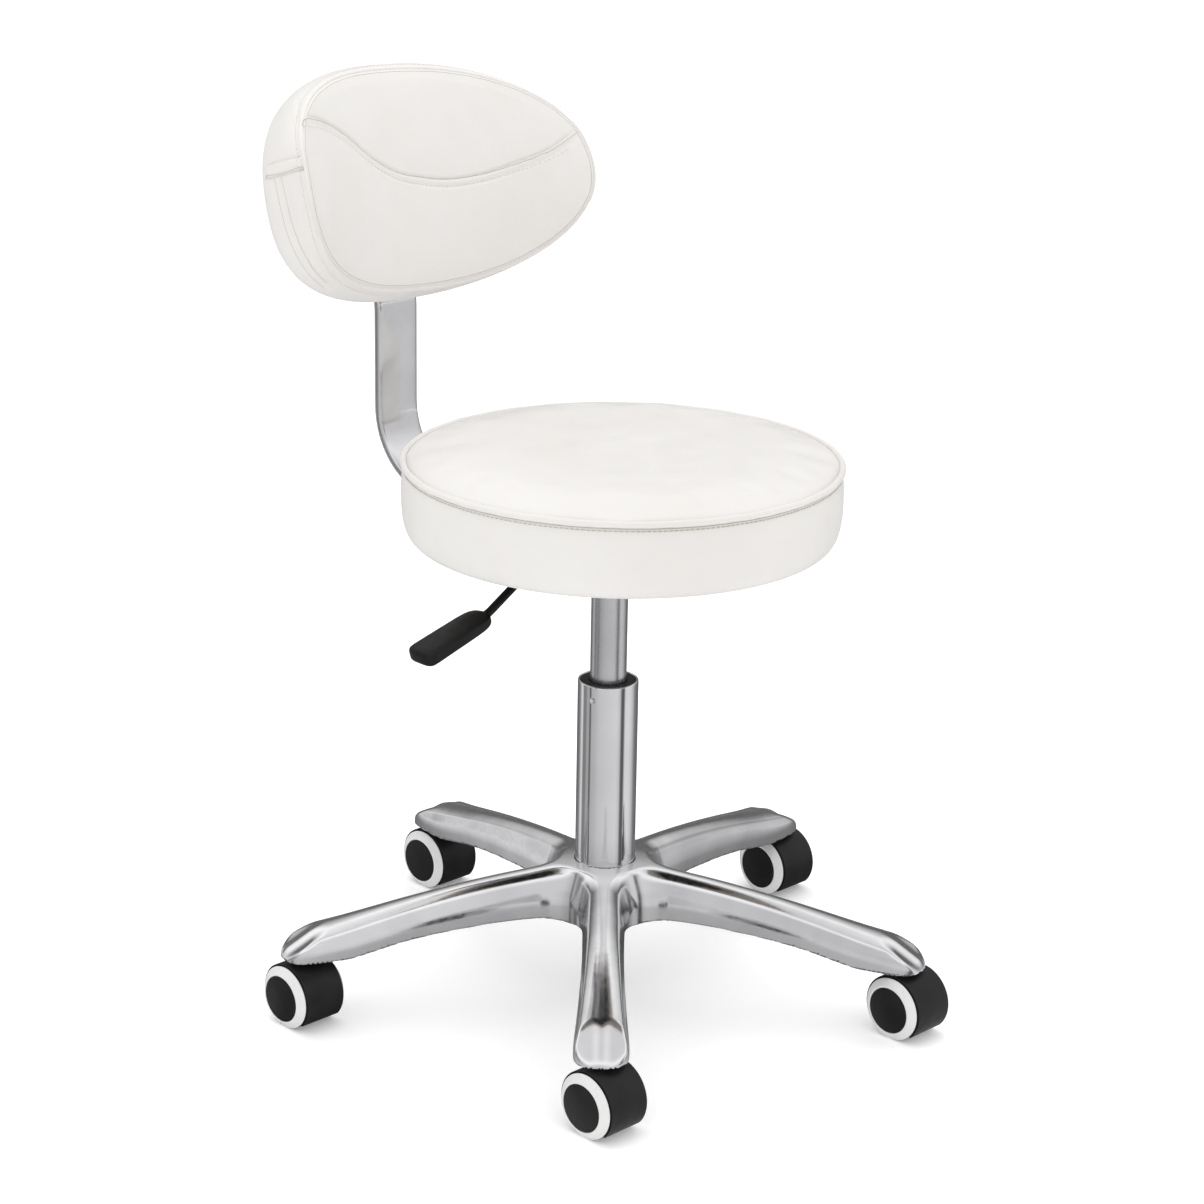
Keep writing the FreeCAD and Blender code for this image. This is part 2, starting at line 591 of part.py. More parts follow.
def lies_along_side(edge):
    """True for the bar's long edges, which run in the planes of its two sides."""
    half = size_of("bar_width") / 2
    middle = edge.valueAt((edge.FirstParameter + edge.LastParameter) / 2)
    ends = [vertex.Point for vertex in edge.Vertexes]
    along = max((end - ends[0]).Length for end in ends) > 20
    return along and abs(abs(middle.x) - half) < 1e-3 and all(abs(abs(end.x) - half) < 1e-3 for end in ends)


def pad_place():
    """Placement of the back pad: its back face rests on the bar's leaning upper run."""
    lean = math.radians(size_of("lean"))
    knee_y = size_of("bar_back") - size_of("bar_thick")
    rise = size_of("pad_height") - size_of("bar_knee")
    middle_y = knee_y + rise * math.tan(lean) - size_of("pad_gap") / math.cos(lean)
    return Placement(Vector(0, middle_y, size_of("pad_height")), Rotation(Vector(1, 0, 0), -size_of("lean")))


def pad_hole_place(height, behind):
    """Placement of a drill that comes from `behind` the pad and points to its front."""
    local = Placement(Vector(0, behind, height), Rotation(Vector(1, 0, 0), 90))
    return pad_place().multiply(local)


def pad_outline(grow):
    """Closed curve of the pad seen from the front: a squared ellipse, narrower at the top."""
    half_width = size_of("pad_half_width") + grow
    half_tall = size_of("pad_half_tall") + grow
    spots = []
    for step in range(PAD_POINTS):
        turn = 2 * math.pi * step / PAD_POINTS
        across_part = math.cos(turn)
        up_part = math.sin(turn)
        swell = abs(across_part) ** PAD_SQUARENESS + abs(up_part) ** PAD_SQUARENESS
        across_part *= swell ** (-1 / PAD_SQUARENESS)
        up_part *= swell ** (-1 / PAD_SQUARENESS)
        across_part *= 1 - PAD_TAPER * up_part
        spots.append(Vector(half_width * across_part, PAD_REACH, half_tall * up_part))
    curve = Part.BSplineCurve()
    curve.interpolate(spots, PeriodicFlag=True)
    return Part.Face(Part.Wire(curve.toShape()))


def pad_layer(grow, back_depth, front_depth):
    """The part of the curved pad between two depths, measured forward from its back face."""
    prism = pad_outline(grow).extrude(Vector(0, -2 * PAD_REACH, 0))
    curve = size_of("pad_curve")
    axis = Vector(0, -curve, -PAD_REACH)
    bowl = Part.makeCylinder(curve - front_depth, 2 * PAD_REACH, axis)
    ring = Part.makeCylinder(curve - back_depth, 2 * PAD_REACH, axis).cut(bowl)
    rear_half = Part.makeBox(2 * PAD_REACH, 2 * curve, 2 * PAD_REACH, Vector(-PAD_REACH, -curve, -PAD_REACH))
    return prism.common(ring).common(rear_half)


def pad_drill(height, depth, radius):
    past = size_of("overrun")
    return Part.makeCylinder(radius, depth + past, Vector(0, past, height), Vector(0, -1, 0))


def make_back_pad():
    skin = size_of("skin")
    thick = size_of("pad_thick")
    board_front = skin + size_of("pad_board_thick")
    board = pad_layer(-size_of("pad_board_inset"), skin, board_front)
    outer = pad_layer(0, 0, thick)
    inner = pad_layer(-skin, skin, thick - skin)
    foam = inner.cut(board)
    cover = outer.cut(inner)
    for height in PAD_BOLTS:
        barrel = pad_drill(height, board_front, size_of("tee_barrel"))
        board = board.cut(barrel)
        cover = cover.cut(pad_drill(height, 10, size_of("tee_barrel")).common(pad_layer(0, -5, skin + 2)))
        foam = foam.cut(pad_drill(height, board_front + size_of("tee_thick") + TEE_ROOM,
                                  size_of("tee_radius") + size_of("pad_gap")))
    shaped("back_board", board, pad_place())
    shaped("back_foam", foam, pad_place())
    shaped("back_cover", cover, pad_place())


# ---------------------------------------------------------------- fasteners
def bolt(name, length, place):
    """Button-head bolt with its head below and its shank along +Z."""
    return turned(name, [
        ("0", "0 - bolt_head_thick"), ("bolt_head_radius - 2", "0 - bolt_head_thick"),
        ("bolt_head_radius", "0 - bolt_head_thick / 2"), ("bolt_head_radius", "0"),
        ("bolt_radius", "0"), ("bolt_radius", length), ("0", length)], place)


def tee_nut(name, barrel, place):
    """Tee nut with its flange on top and its barrel hanging below."""
    return turned(name, [
        ("bolt_radius", "0"), ("bolt_radius", f"0 - {barrel}"), ("tee_barrel", f"0 - {barrel}"),
        ("tee_barrel", "0"), ("tee_radius", "0"), ("tee_radius", "tee_thick"),
        ("bolt_radius", "tee_thick")], place)


def make_fasteners():
    plate_low = measured("seat_under - flange_thick")
    bar_low = measured("seat_under - flange_thick - bar_thick")
    board_top = measured("seat_under + board_thick")
    seat_bolts = [bolt(f"seat_bolt_{number}", "flange_thick + board_thick",
                       Placement(Vector(spot_x, spot_y, plate_low), Rotation()))
                  for number, (spot_x, spot_y) in enumerate(seat_bolt_spots(), start=1)]
    group("seat_bolts", seat_bolts)
    bar_bolts = [bolt(f"bar_bolt_{number}", "bar_thick + flange_thick + board_thick",
                      Placement(Vector(spot_x, spot_y, bar_low), Rotation()))
                 for number, (spot_x, spot_y) in enumerate(bar_bolt_spots(), start=1)]
    group("bar_bolts", bar_bolts)
    tees = [tee_nut(f"seat_tee_{number}", "board_thick",
                    Placement(Vector(spot_x, spot_y, board_top), Rotation()))
            for number, (spot_x, spot_y) in enumerate(seat_bolt_spots() + bar_bolt_spots(), start=1)]
    group("seat_tee_nuts", tees)
    back_bolts = []
    back_tees = []
    for number, height in enumerate(PAD_BOLTS, start=1):
        behind = size_of("bar_thick") + size_of("pad_gap")
        board_front = size_of("skin") + size_of("pad_board_thick")
        back_bolts.append(bolt(f"back_bolt_{number}", "bar_thick + pad_gap + skin + pad_board_thick",
                               pad_hole_place(height, behind)))
        seat_on = board_front + 3 * size_of("pad_gap")
        back_tees.append(tee_nut(f"back_tee_{number}", "pad_board_thick - 1",
                                 pad_hole_place(height, -seat_on)))
    group("back_bolts", back_bolts)
    group("back_tee_nuts", back_tees)


doc.recompute()
make_base()
make_column()
make_stems()
for caster in range(1, ARMS + 1):
    make_caster(caster)
make_lift()
make_seat_plate()
make_lever()
make_seat()
make_back_bar()
make_back_pad()
make_fasteners()
doc.recompute()

for item in doc.Objects:
    if "Invalid" in item.State or "Error" in item.State:
        raise RuntimeError(f"{item.Label} did not recompute: {item.State}")
os.makedirs("parts", exist_ok=True)
for piece in subparts:
    if piece.Shape.isNull() or not piece.Shape.isValid():
        raise RuntimeError(f"{piece.Label} has no valid shape")
    piece.Shape.exportStep(f"parts/{piece.Label}.step")
print(len(subparts), "sub-parts written")
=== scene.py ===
"""Pedicure stool: the looks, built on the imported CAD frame.

Metres, +Z up, origin on the floor under the column. The backrest stands on +Y.
"""
import json
import math

import bmesh
import bpy
import numpy as np
from mathutils import Matrix, Vector
from mathutils.bvhtree import BVHTree


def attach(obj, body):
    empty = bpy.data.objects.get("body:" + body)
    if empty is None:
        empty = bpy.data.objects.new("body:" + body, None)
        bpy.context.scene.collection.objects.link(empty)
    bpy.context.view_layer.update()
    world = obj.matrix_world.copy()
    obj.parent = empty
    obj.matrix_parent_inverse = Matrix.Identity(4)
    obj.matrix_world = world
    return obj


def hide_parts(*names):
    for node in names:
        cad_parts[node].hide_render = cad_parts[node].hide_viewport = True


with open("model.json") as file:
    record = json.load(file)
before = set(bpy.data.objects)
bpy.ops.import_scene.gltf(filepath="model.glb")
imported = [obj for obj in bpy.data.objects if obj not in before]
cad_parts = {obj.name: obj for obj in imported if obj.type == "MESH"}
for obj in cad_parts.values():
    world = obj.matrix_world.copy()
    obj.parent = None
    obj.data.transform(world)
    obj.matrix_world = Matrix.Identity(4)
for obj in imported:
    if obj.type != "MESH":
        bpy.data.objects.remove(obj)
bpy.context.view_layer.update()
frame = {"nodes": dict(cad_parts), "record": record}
MM = 0.001
ARMS = 5
FIRST_ARM = math.radians(225)
ARM_STEP = 2 * math.pi / ARMS
STEM_CIRCLE = 0.260
TRAIL = 0.004
WHEEL_RADIUS = 0.0265
HOOD_FOOT = 0.007       # height of the hood's lower edge above the floor


# ---------------- materials
class Nodes:
    """Short ways to build the shader tree of a material or a world."""

    def __init__(self, owner):
        owner.use_nodes = True
        self.owner, self.nodes, self.links = owner, owner.node_tree.nodes, owner.node_tree.links

    def feed(self, node, inputs):
        """Each input takes a plain value or the output of another node."""
        for name, value in inputs.items():
            if isinstance(value, bpy.types.NodeSocket):
                self.links.new(value, node.inputs[name])
            else:
                node.inputs[name].default_value = value
        return node

    def add(self, kind, inputs=None):
        return self.feed(self.nodes.new("ShaderNode" + kind), inputs or {})

    def place(self, stretch=(1, 1, 1)):
        """Object coordinates in metres, stretched."""
        where = self.add("TexCoord").outputs["Object"]
        return self.add("Mapping", {"Vector": where, "Scale": stretch}).outputs["Vector"]

    def noise(self, at, scale, detail=3.0, rough=0.55):
        made = self.add("TexNoise", {"Vector": at, "Scale": scale, "Detail": detail, "Roughness": rough})
        return made.outputs["Fac"]

    def cells(self, at, scale):
        return self.add("TexVoronoi", {"Vector": at, "Scale": scale}).outputs["Distance"]

    def ranged(self, value, low, high, source=(0.3, 0.7)):
        """The value's range from source to low..high."""
        made = self.add("MapRange", {"Value": value, "From Min": source[0], "From Max": source[1],
                                     "To Min": low, "To Max": high})
        return made.outputs["Result"]

    def tinted(self, value, dark, light, source=(0.35, 0.65)):
        made = self.add("ValToRGB", {"Fac": value})
        for stop, place, colour in zip(made.color_ramp.elements, source, (dark, light)):
            stop.position = place
            stop.color = (*colour, 1)
        return made.outputs["Color"]

    def bumped(self, value, depth, strength, under=None):
        made = self.add("Bump", {"Height": value, "Distance": depth, "Strength": strength})
        if under is not None:
            self.links.new(under, made.inputs["Normal"])
        return made.outputs["Normal"]

    def mixed(self, factor, first, second):
        made = self.nodes.new("ShaderNodeMix")
        made.data_type = "RGBA"
        return self.feed(made, {"Factor": factor, "A": first, "B": second}).outputs["Result"]

    def material(self, inputs):
        """The finished material, its Principled shader fed with these."""
        self.feed(self.nodes["Principled BSDF"], inputs)
        return self.owner


def tree_of(name):
    """The shader tree of a new material, and its object coordinates."""
    tree = Nodes(bpy.data.materials.new(name))
    return tree, tree.place()


def vinyl_material(name="vinyl", dark=(0.675, 0.655, 0.632), light=(0.705, 0.688, 0.668)):
    """Warm white upholstery vinyl: fine pebble grain, faint mottling, a soft sheen."""
    tree, at = tree_of(name)
    pebbles = tree.bumped(tree.cells(at, 950.0), 0.00010, 0.55)
    fine = tree.bumped(tree.noise(at, 2600.0, 2.0), 0.00004, 0.4, pebbles)
    return tree.material({
        "Base Color": tree.tinted(tree.noise(at, 9.0, 4.0), dark, light),
        "Roughness": tree.ranged(tree.noise(at, 38.0), 0.40, 0.54),
        "Normal": tree.bumped(tree.noise(at, 26.0, 2.0), 0.0009, 0.35, fine),
        "Specular IOR Level": 0.42, "Sheen Weight": 0.08, "Coat Weight": 0.06, "Coat Roughness": 0.35})


def metal_material(name, dark, light, rough, wave_scale, wave_depth, stretch=(1, 1, 1), marks=420.0, marks_depth=0):
    """Bare or plated metal: colour and roughness vary a little, with shallow waves and fine marks."""
    tree, at = tree_of(name)
    streaks = tree.noise(tree.place(stretch), marks, 4.0, 0.6)
    normal = tree.bumped(tree.noise(at, wave_scale, 2.0), wave_depth, 0.5)
    if marks_depth > 0:
        normal = tree.bumped(streaks, marks_depth, 0.5, normal)
    return tree.material({"Base Color": tree.tinted(tree.noise(at, 14.0), dark, light),
                          "Roughness": tree.ranged(streaks, *rough), "Normal": normal, "Metallic": 1.0})


def plastic_material(name, dark, light, rough, grain_scale, grain_depth, coat=0.0, shine=0.22):
    """Moulded plastic or paint with a fine grain."""
    tree, at = tree_of(name)
    grain = tree.noise(at, grain_scale, 3.0, 0.6)
    return tree.material({
        "Base Color": tree.tinted(tree.noise(at, 30.0, 4.0), dark, light),
        "Roughness": tree.ranged(tree.noise(at, 120.0), *rough),
        "Normal": tree.bumped(grain, grain_depth, 0.5),
        "Specular IOR Level": shine, "Coat Weight": coat, "Coat Roughness": 0.2})


def plywood_material():
    tree = Nodes(bpy.data.materials.new("birch_plywood"))
    at = tree.place((1.0, 9.0, 9.0))
    rings = tree.add("TexWave", {"Vector": at, "Scale": 14.0, "Distortion": 5.5, "Detail": 3.0}).outputs["Fac"]
    pores = tree.noise(at, 320.0, 4.0)
    return tree.material({
        "Base Color": tree.tinted(rings, (0.17, 0.15, 0.13), (0.25, 0.225, 0.20), (0.1, 0.9)),
        "Roughness": tree.ranged(pores, 0.55, 0.75), "Normal": tree.bumped(pores, 0.0002, 0.6)})


def foam_material():
    tree, at = tree_of("cut_foam")
    holes = tree.cells(at, 700.0)
    return tree.material({
        "Base Color": tree.tinted(holes, (0.55, 0.48, 0.26), (0.80, 0.74, 0.52), (0.0, 0.6)),
        "Roughness": 0.9, "Normal": tree.bumped(holes, 0.0006, 0.8)})


def thread_material():
    tree, at = tree_of("thread")
    twist = tree.noise(at, 1800.0, 2.0)
    return tree.material({
        "Base Color": tree.tinted(twist, (0.62, 0.59, 0.55), (0.80, 0.78, 0.74)),
        "Roughness": 0.62, "Normal": tree.bumped(twist, 0.00012, 0.6)})


VINYL = vinyl_material()
THREAD = thread_material()
# Painted shade: a darker vinyl tone for the thin cords laid in seam grooves and for the boxing stitches, standing in
# for the shade in those seams.
SEAM_SHADE = vinyl_material("painted_seam_shade", (0.42, 0.375, 0.32), (0.52, 0.475, 0.415))
EVEN = (1, 1, 1)
METALS = [      # name, darkest, lightest, roughness, scale and depth of waves, stretch, scale and depth of marks
    ("chrome", (0.72, 0.72, 0.73), (0.78, 0.78, 0.79), (0.035, 0.085), 18.0, 0.00018),
    ("bar_chrome", (0.53, 0.53, 0.54), (0.64, 0.64, 0.65), (0.08, 0.16), 16.0, 0.0003, (1, 1, 0.06), 900.0, 0.00001),
    ("polished_aluminium", (0.70, 0.70, 0.71), (0.80, 0.80, 0.81), (0.10, 0.20), 24.0, 0.0006, EVEN, 260.0, 0.00002),
    ("brushed_chrome", (0.52, 0.52, 0.53), (0.62, 0.62, 0.63), (0.20, 0.32), 16.0, 0.0002, (1, 1, 0.04), 1400.0, 0.00002),
    ("ground_steel", (0.55, 0.55, 0.57), (0.66, 0.66, 0.68), (0.14, 0.24), 20.0, 0.0001, (1, 1, 12), 700.0, 0.00001),
    ("bearing_steel", (0.48, 0.48, 0.50), (0.60, 0.60, 0.62), (0.10, 0.22), 40.0, 0.0001),
    ("zinc_steel", (0.48, 0.49, 0.50), (0.62, 0.63, 0.65), (0.24, 0.42), 60.0, 0.0003, EVEN, 500.0, 0.00003),
]
BLACKS = (0.004, 0.004, 0.004), (0.008, 0.008, 0.008)
LOOKS = {name: metal_material(name, *values) for name, *values in METALS}       # by the record's material slots
LOOKS.update({
    "black_steel": plastic_material("black_powder_coat", *BLACKS, (0.34, 0.48), 1500.0, 0.00012),
    "black_plastic": plastic_material("black_plastic", *BLACKS, (0.36, 0.50), 2200.0, 0.00008),
    "caster_black": plastic_material("caster_black", (0.009, 0.009, 0.009), (0.015, 0.015, 0.015), (0.38, 0.52),
                                     1700.0, 0.00009),
    "ring_white": plastic_material("ring_white", (0.66, 0.66, 0.655), (0.71, 0.71, 0.705), (0.26, 0.38),
                                   900.0, 0.00005, 0.15, 0.45),
    "vinyl": VINYL, "foam": foam_material(), "plywood": plywood_material(),
})


def dress_cad_nodes():
    """Every carried-over node takes the look of its slot in the record."""
    for entry in frame["record"]["subparts"]:
        mesh = frame["nodes"][entry["node"]].data
        mesh.materials.clear()
        mesh.materials.append(LOOKS[entry["material_slot"]])
        mesh.shade_smooth()
        mesh.set_sharp_from_angle(angle=math.radians(32))


# ---------------- mesh helpers
def new_mesh(name, points, faces, look, outward=False, cut_at=None):
    """A smooth mesh. Outward turns its faces to look out; cut_at slices it off below that height."""
    mesh = bpy.data.meshes.new(name)
    mesh.from_pydata([tuple(p) for p in points], [], faces)
    if outward:
        work = bmesh.new()
        work.from_mesh(mesh)
        if cut_at is not None:
            cut = bmesh.ops.bisect_plane(work, geom=work.verts[:] + work.edges[:] + work.faces[:], dist=1e-6,
                                         plane_co=(0, 0, cut_at), plane_no=(0, 0, 1), clear_inner=True)
            rim = [item for item in cut["geom_cut"] if isinstance(item, bmesh.types.BMEdge)]
            bmesh.ops.edgenet_fill(work, edges=rim)
        bmesh.ops.recalc_face_normals(work, faces=work.faces)
        work.to_mesh(mesh)
        work.free()
    mesh.shade_smooth()
    mesh.materials.append(look)
    return mesh


def in_scene(name, data):
    made = bpy.data.objects.new(name, data)
    bpy.context.scene.collection.objects.link(made)
    return made


def placed(name, mesh, body, stands_for=(), at=(0, 0, 0)):
    """A mesh as a named piece that rides on a CAD body and stands for some of its nodes."""
    made = in_scene(name, mesh)
    made.location = at
    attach(made, body)
    if stands_for:
        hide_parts(*stands_for)
    return made


def piece(name, points, faces, body, slot, stands_for=(), look=None):
    """A closed piece, in the look of its slot unless another is given."""
    return placed(name, new_mesh(name, points, faces, look or LOOKS[slot], True), body, stands_for)


def softened(corners, radius, closed=True, steps=4):
    """An outline with its corners turned into short curves, and a close point on each side of them."""
    spots = [Vector(c) for c in corners]
    out = []
    for index, spot in enumerate(spots):
        if not closed and index in (0, len(spots) - 1):
            out.append(spot)
            continue
        first, second = spots[index - 1] - spot, spots[(index + 1) % len(spots)] - spot
        cut = min(radius, 0.42 * first.length, 0.42 * second.length)
        start, end = spot + first.normalized() * cut, spot + second.normalized() * cut
        out.append(spot + first.normalized() * cut * 1.18)
        for t in np.linspace(0, 1, steps + 1).tolist():
            out.append(start * (1 - t) ** 2 + spot * 2 * t * (1 - t) + end * t * t)
        out.append(spot + second.normalized() * cut * 1.18)
    return [tuple(p) for p in out]


def circle(radius, count):
    """The (x, y) places of evenly spread points of a circle."""
    return [(radius * math.cos(2 * math.pi * s / count), radius * math.sin(2 * math.pi * s / count))
            for s in range(count)]


def rows_of(count, sides):
    """Point numbers of equal rings laid down one after another."""
    return [list(range(row * sides, (row + 1) * sides)) for row in range(count)]


def ring_faces(rings, closed=False, capped=False):
    """Faces between neighbouring rings of point numbers, and over the two ends where they are capped."""
    faces = []
    for lower, upper in zip(rings, rings[1:] + rings[:1] if closed else rings[1:]):
        for step in range(len(lower)):
            following = (step + 1) % len(lower)
            corners = [lower[step], lower[following], upper[following], upper[step]]
            face = [c for place, c in enumerate(corners) if c != corners[place - 1]]
            if len(face) > 2:
                faces.append(face)
    return faces + [rings[0], rings[-1]] if capped else faces


def turned(outline, closed, steps=96):
    """Points and faces of a (radius, height) outline turned about Z."""
    points, rings = [], []
    for radius, height in outline:
        on_axis = radius < 1e-7
        rings.append([len(points)] * steps if on_axis else list(range(len(points), len(points) + steps)))
        points.extend([(0.0, 0.0, height)] if on_axis else [(x, y, height) for x, y in circle(radius, steps)])
    return points, ring_faces(rings, closed)


def swept(path, profile, closed=False, sideways=None):
    """Points and faces of an (across, out) profile carried along a path, kept level with `sideways`."""
    spots = [Vector(p) for p in path]
    count = len(spots)
    points = []
    for index, spot in enumerate(spots):
        before = spots[index - 1] if closed or index else spot
        after = spots[(index + 1) % count] if closed or index < count - 1 else spot
        ahead = (after - before).normalized()
        across = Vector(sideways) if sideways is not None else Vector((0, 0, 1)).cross(ahead)
        across = (across - ahead * across.dot(ahead)).normalized()
        out = ahead.cross(across)
        points.extend(spot + across * a + out * b for a, b in profile)
    return points, ring_faces(rows_of(count, len(profile)), closed, capped=not closed)


def joined(shapes):
    """Several (points, faces) as one."""
    points, faces = [], []
    for more, sides in shapes:
        faces.extend([c + len(points) for c in face] for face in sides)
        points.extend(more)
    return points, faces


def bent(corners, radius, steps=10):
    """Straight runs joined by arcs of one radius, in the plane of the corners."""
    spots = [Vector(c) for c in corners]
    out = [spots[0]]
    for before, spot, after in zip(spots, spots[1:], spots[2:]):
        back, ahead = (before - spot).normalized(), (after - spot).normalized()
        half = (math.pi - back.angle(ahead)) / 2
        centre = spot + (back + ahead).normalized() * (radius / math.cos(half))
        start, end = spot + back * radius * math.tan(half), spot + ahead * radius * math.tan(half)
        for step in range(steps + 1):
            t = step / steps
            arm = (start - centre).normalized().slerp((end - centre).normalized(), t)
            out.append(centre + arm * radius)
    out.append(spots[-1])
    return out


def around(radius, turn, height=0.0):
    return Vector((radius * math.cos(turn), radius * math.sin(turn), height))


# ---------------- five-arm base
ARM_TABLE = np.array([      # along an arm, mm: reach, crest, underside, half width, half width at the crease
    (10.0, 116.2, 66.0, 20.0, 14.0),
    (35.0, 114.4, 70.0, 18.8, 13.4),
    (60.0, 111.5, 73.0, 17.6, 12.9),
    (90.0, 108.3, 73.5, 17.1, 12.6),
    (120.0, 104.4, 71.8, 17.0, 12.6),
    (150.0, 99.6, 69.4, 17.4, 13.2),
    (180.0, 94.0, 65.6, 18.4, 14.2),
    (205.0, 88.9, 60.6, 19.6, 15.4),
    (222.0, 85.4, 57.6, 20.6, 16.4),
    (240.0, 81.8, 57.0, 21.6, 17.4),
    (262.0, 77.5, 57.0, 22.4, 18.2),
    (290.0, 72.0, 57.0, 22.8, 18.8),
])
HUB_TABLE = np.array([      # height, radius of the hub, mm
    (55.0, 27.6), (70.0, 28.2), (90.0, 28.6), (103.0, 28.0), (112.0, 27.0), (122.0, 26.3),
])


def eased(at, table, column):
    """Smooth interpolation of one column of a table over its first column."""
    xs, ys = table[:, 0], table[:, column]
    slopes = np.gradient(ys, xs)
    where = np.clip(np.searchsorted(xs, at) - 1, 0, len(xs) - 2)
    span = xs[where + 1] - xs[where]
    t = np.clip((at - xs[where]) / span, 0, 1)
    start, end = ys[where], ys[where + 1]
    rise, fall = slopes[where] * span, slopes[where + 1] * span
    return ((2 * t ** 3 - 3 * t ** 2 + 1) * start + (t ** 3 - 2 * t ** 2 + t) * rise
            + (3 * t ** 2 - 2 * t ** 3) * end + (t ** 3 - t ** 2) * fall)


def soft_max(a, b, blend):
    mix = np.clip(0.5 + 0.5 * (a - b) / blend, 0, 1)
    return b + (a - b) * mix + blend * mix * (1 - mix)


def soft_min(a, b, blend):
    return -soft_max(-a, -b, blend)


def arm_field(x, y, z):
    """Signed distance in mm to an arm's outer skin and to its underside, for x along the arm and |y| across."""
    crest = eased(x, ARM_TABLE, 1)
    under = eased(x, ARM_TABLE, 2)
    half = eased(x, ARM_TABLE, 3)
    crease = eased(x, ARM_TABLE, 4)
    tall = crest - under
    drop = 0.15 * tall
    top = (z - crest + drop * (y / crease) ** 2) / np.sqrt(1 + (2 * drop * y / crease ** 2) ** 2)
    edge = 0.58 * tall
    run, fall = half - crease, edge - drop
    bevel = ((y - crease) * fall + (z - crest + drop) * run) / np.hypot(run, fall)
    flank = (y - half) * 0.995 + 0.02 * (z - under)
    skin = soft_max(soft_max(top, bevel, 1.6), flank, 1.6)
    facet_tilt = math.radians(33)
    facet_line = 82.4 - math.tan(facet_tilt) * (x - 240.0) + 2.8 * np.exp(-(y / 6.0) ** 2) + 0.004 * y ** 2
    facet = (z - facet_line) * math.cos(facet_tilt)
    skin = soft_max(skin, facet, 3.4)
    end = ((np.clip(x - 246.0, 0, None) / 30.2) ** 2.4 + (y / 24.4) ** 2.4) ** (1 / 2.4)
    return soft_max(skin, (end - 1) * 24.0, 4.5), under - z


def star_field(points):
    """Signed distance to the whole casting, in mm, at an (n, 3) array of points in mm."""
    px, py, z = points[:, 0], points[:, 1], points[:, 2]
    radius = np.hypot(px, py)
    turn = np.abs(np.mod(np.arctan2(py, px) - FIRST_ARM + ARM_STEP / 2, ARM_STEP) - ARM_STEP / 2)
    skin, under = arm_field(radius * np.cos(turn), radius * np.sin(turn), z)
    beside, _ = arm_field(radius * np.cos(ARM_STEP - turn), np.abs(radius * np.sin(ARM_STEP - turn)), z)
    hub = radius - np.interp(z, HUB_TABLE[:, 0], HUB_TABLE[:, 1])
    near = np.clip((125.0 - radius) / 65.0, 0, 1)
    body = soft_min(skin, np.where(near > 0, beside, skin + 60.0), 40.0 * near + 0.01)
    body = soft_min(body, hub, 9.0)
    floor = soft_min(under, np.maximum(60.0 - z, radius - 28.6), 4.0)
    solid = soft_max(body, floor, 1.0)
    cap = z - np.minimum(115.6, eased(radius, ARM_TABLE, 1) + 0.25)
    solid = soft_max(solid, cap, 1.2)
    x_along = radius * np.cos(turn)
    hollow = np.maximum(np.maximum(skin + 4.0, 39.0 - x_along), x_along - 233.0)
    solid = soft_max(solid, -hollow, 0.8)
    bore = 24.38 + 0.7 * np.clip((z - 62.0) / 53.5, 0, 1)
    solid = np.maximum(solid, -np.maximum(radius - bore, 62.0 - z))
    solid = np.maximum(solid, 20.0 - radius)
    stem = np.hypot(x_along - STEM_CIRCLE / MM, radius * np.sin(turn)) - 5.7
    return np.maximum(solid, -np.maximum(stem, z - 60.5))


def field_mesh(field, low, high, pitch):
    """Surface of a field's zero level as quads: one point in each crossed cell, then drawn onto the surface."""
    axes = [np.arange(a, b + pitch, pitch) for a, b in zip(low, high)]
    shape = [len(axis) for axis in axes]
    values = np.empty(shape, np.float32)
    for start in range(0, shape[0], 12):
        grid = np.stack(np.meshgrid(axes[0][start:start + 12], axes[1], axes[2], indexing="ij"), -1)
        values[start:start + 12] = field(grid.reshape(-1, 3)).reshape(grid.shape[:3])
    inside = values < 0
    corners = [(i, j, k) for i in (0, 1) for j in (0, 1) for k in (0, 1)]
    cells = [n - 1 for n in shape]
    filled = sum(inside[i:cells[0] + i, j:cells[1] + j, k:cells[2] + k].astype(np.int8) for i, j, k in corners)
    cells_at = np.argwhere((filled > 0) & (filled < 8))
    number = -np.ones(cells, np.int64)
    number[tuple(cells_at.T)] = np.arange(len(cells_at))
    total, hits = np.zeros((len(cells_at), 3)), np.zeros(len(cells_at))
    for a in corners:
        for axis in range(3):
            if a[axis]:
                continue
            b = tuple(c + (n == axis) for n, c in enumerate(a))
            va = values[tuple((cells_at + a).T)]
            vb = values[tuple((cells_at + b).T)]
            crossed = (va < 0) != (vb < 0)
            share = np.where(crossed, va / np.where(crossed, va - vb, 1), 0)
            spot = cells_at + np.array(a) + share[:, None] * (np.array(b) - np.array(a))
            total[crossed] += spot[crossed]
            hits += crossed
    points = np.array(low) + pitch * total / hits[:, None]
    faces = []
    for axis in range(3):
        u, v = (axis + 1) % 3, (axis + 2) % 3
        edges = np.argwhere(np.diff(inside, axis=axis))
        at_u, at_v = edges[:, u], edges[:, v]
        edges = edges[(at_u > 0) & (at_v > 0) & (at_u < cells[u]) & (at_v < cells[v])]
        loop = []
        for du, dv in ((1, 1), (0, 1), (0, 0), (1, 0)):
            cell = edges.copy()
            cell[:, u] -= du
            cell[:, v] -= dv
            loop.append(number[tuple(cell.T)])
        quads = np.stack(loop, 1)
        outward = inside[tuple(edges.T)]
        quads[~outward] = quads[~outward][:, ::-1]
        faces.append(quads)
    for _ in range(4):
        points, normals = drawn_on(field, points)
    return points, np.concatenate(faces), normals


